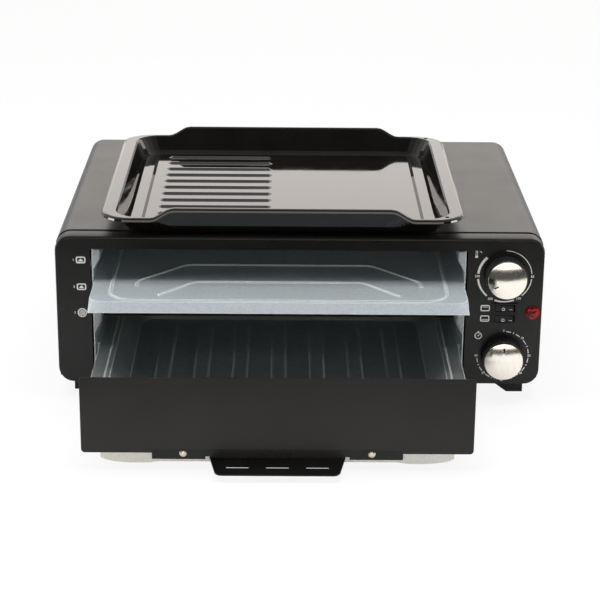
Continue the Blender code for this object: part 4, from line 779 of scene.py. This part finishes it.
# %% Level signs
LEVEL_X = -0.1914
LEVEL_NUMBER_X = -0.1978
LEVEL_FALL = {1: 0.0187, 2: 0.0435, 3: 0.0676}
LOAF_FRAME = {"width": 0.0084, "height": 0.0062, "corner": 0.0016, "stroke": 0.0011}
HALF_LOAF = [(0.0024, -0.0014), (0.0013, 0.0002), (0.0004, 0.0011)]
for number in (1, 2):
    middle = (LEVEL_X, PLATE_TOP - LEVEL_FALL[number])
    shape = [(-x, z) for x, z in HALF_LOAF] + HALF_LOAF[::-1]
    loaf = [(middle[0] + x, middle[1] + z) for x, z in shape]
    film(f"level_{number}_sign", frame_sign(middle, **LOAF_FRAME) + [loaf])
print("loaf of", len(shape), "corners")

# %% Sliced pizza and level numbers
PIZZA_RADIUS = 0.0037
CRUST_WIDTH = 0.0009
CUT_FROM, CUT_TO = 0.0003, 0.0033
CUT_WIDTH = 0.0005
TOPPING_OUT = 0.0021
TOPPING_RADIUS = 0.0006
pizza = (LEVEL_X, PLATE_TOP - LEVEL_FALL[3])
slices = ring(pizza, PIZZA_RADIUS, CRUST_WIDTH, 20)
for turn in range(0, 360, 60):
    cut = [round_dial(pizza, reach, turn + 15) for reach in (CUT_FROM, CUT_TO)]
    slices.append(line(*cut, CUT_WIDTH))
    slices.append(spot(round_dial(pizza, TOPPING_OUT, turn + 45), TOPPING_RADIUS))
film("level_3_sign", slices)
for number, fall in LEVEL_FALL.items():
    digits(f"level_{number}_print", str(number), (LEVEL_NUMBER_X, PLATE_TOP - fall))
print("level signs", len(LEVEL_FALL))

# %% [markdown]
# ## Signs beside the controls
# A frame with a coil at its top or at its foot stands beside each key, for the rods that it switches.
# A thermometer belongs to the upper dial and a clock to the timer. The coil could be a smooth curve,
# but it is less than a millimetre high, where a zigzag of seven straight strokes looks the same.

# %% Heat signs
HEAT_X = 0.1636
HEAT_FRAME = {"width": 0.0082, "height": 0.0058, "corner": 0.0013, "stroke": 0.0009}
COIL_START = -0.0028
COIL_STEP = 0.0008
COIL_FAR, COIL_NEAR = 0.0014, 0.0006
COIL_WIDTH = 0.00045
for level, fall, side in (("upper", 0.0610, 1), ("lower", 0.0708, -1)):
    middle = (HEAT_X, PLATE_TOP - fall)
    coil = [(middle[0] + COIL_START + COIL_STEP * step,
             middle[1] + side * (COIL_FAR if step % 2 else COIL_NEAR)) for step in range(8)]
    heat = [line(one, two, COIL_WIDTH) for one, two in zip(coil, coil[1:])]
    film(f"{level}_heat_sign", frame_sign(middle, **HEAT_FRAME) + heat)
print("coil of", len(coil) - 1, "strokes")

# %% Thermometer
BULB_RADIUS = 0.0014
STEM_FRAME = {"width": 0.0019, "height": 0.0048, "corner": 0.0008, "stroke": 0.0005}
DEGREE_RADIUS = 0.0009
DEGREE_WIDTH = 0.0005
bulb = (0.1541, PLATE_TOP - 0.0133)
stem = (bulb[0], bulb[1] + 0.0030)
degree = (bulb[0] + 0.0034, bulb[1] + 0.0038)
glass = [spot(bulb, BULB_RADIUS)] + frame_sign(stem, **STEM_FRAME)
glass += strokes(degree, DEGREE_RADIUS, -60, 120, DEGREE_WIDTH, DEGREE_WIDTH, 30)
film("thermometer_sign", glass)
print("thermometer of", len(glass), "faces")

# %% Clock
CLOCK_RADIUS = 0.0029
CLOCK_RIM = 0.0008
HAND_REACH = 0.0019
HAND_WIDTH = 0.0006
CROWN_FROM, CROWN_TO = 0.0032, 0.0043
CROWN_WIDTH = 0.0012
watch = (0.1585, PLATE_TOP - 0.0870)
crown = [(watch[0], watch[1] + reach) for reach in (CROWN_FROM, CROWN_TO)]
clock = ring(watch, CLOCK_RADIUS, CLOCK_RIM, 18)
clock.append(line(watch, round_dial(watch, HAND_REACH, 45), HAND_WIDTH))
clock.append(spot(watch, HAND_WIDTH))
clock.append(line(*crown, CROWN_WIDTH))
film("clock_sign", clock)
print("clock of", len(clock), "faces")

# %% [markdown]
# ## Marks on the tipping keys
# Each key has a ring for off and a bar for on. The keys are bent in the middle, so a flat film would
# sink into them: each point is dropped onto the key's own face. The film rides on the key's body, and
# tips with it.

# %% Key marks
KEY_FALL = {"upper": 0.0617, "lower": 0.0718}
OFF_X = 0.1795
ON_FROM, ON_TO = 0.1846, 0.1872
MARK_RADIUS = 0.0012
MARK_WIDTH = 0.0005
for level, fall in KEY_FALL.items():
    height = PLATE_TOP - fall
    off = ring((OFF_X, height), MARK_RADIUS, MARK_WIDTH, 24)
    on = [line((ON_FROM, height), (ON_TO, height), MARK_WIDTH)]
    film(f"{level}_key_marks", off + on, on_node=f"{level}_rocker", body=f"{level}_rocker_key")

# %% [markdown]
# ## Pointer marks in the caps
# A short slot near the rim of each cap is filled with black paint and shows where the dial stands. The
# slot's faces could be painted, but they lie below the dome and would show as a dark gap. So the
# filling is a piece of its own, whose corners take their depth from the dome just beside the slot. It
# turns with its knob.

# %% Pointer marks
TEMPERATURE_TURN = 237
SLOT_FROM, SLOT_TO = 0.0093, 0.0131
SLOT_WIDTH = 0.0013
BESIDE_SLOT = 0.0019
FILLING_DEPTH = 0.0003


def pointer_mark(dial, turn):
    """Black filling in the slot of a cap, level with the dome on both sides of the slot."""
    cap = f"{dial}_knob_cap"
    low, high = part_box(cap)
    middle = ((low.x + high.x) / 2, (low.z + high.z) / 2)
    ends = [round_dial(middle, reach, turn) for reach in (SLOT_FROM, SLOT_TO)]
    made = bmesh.new()
    corners = []
    for (x, z), beside in zip(line(*ends, SLOT_WIDTH), line(*ends, BESIDE_SLOT)):
        corners.append(made.verts.new((x, drop_onto(cap, *beside) - FILM, z)))
    made.faces.new(corners)
    lay_closed(f"{dial}_pointer_mark", made, FILLING_DEPTH, mark_ink, f"{dial}_knob")


pointer_mark("temperature", TEMPERATURE_TURN)
pointer_mark("timer", 0)

# %% [markdown]
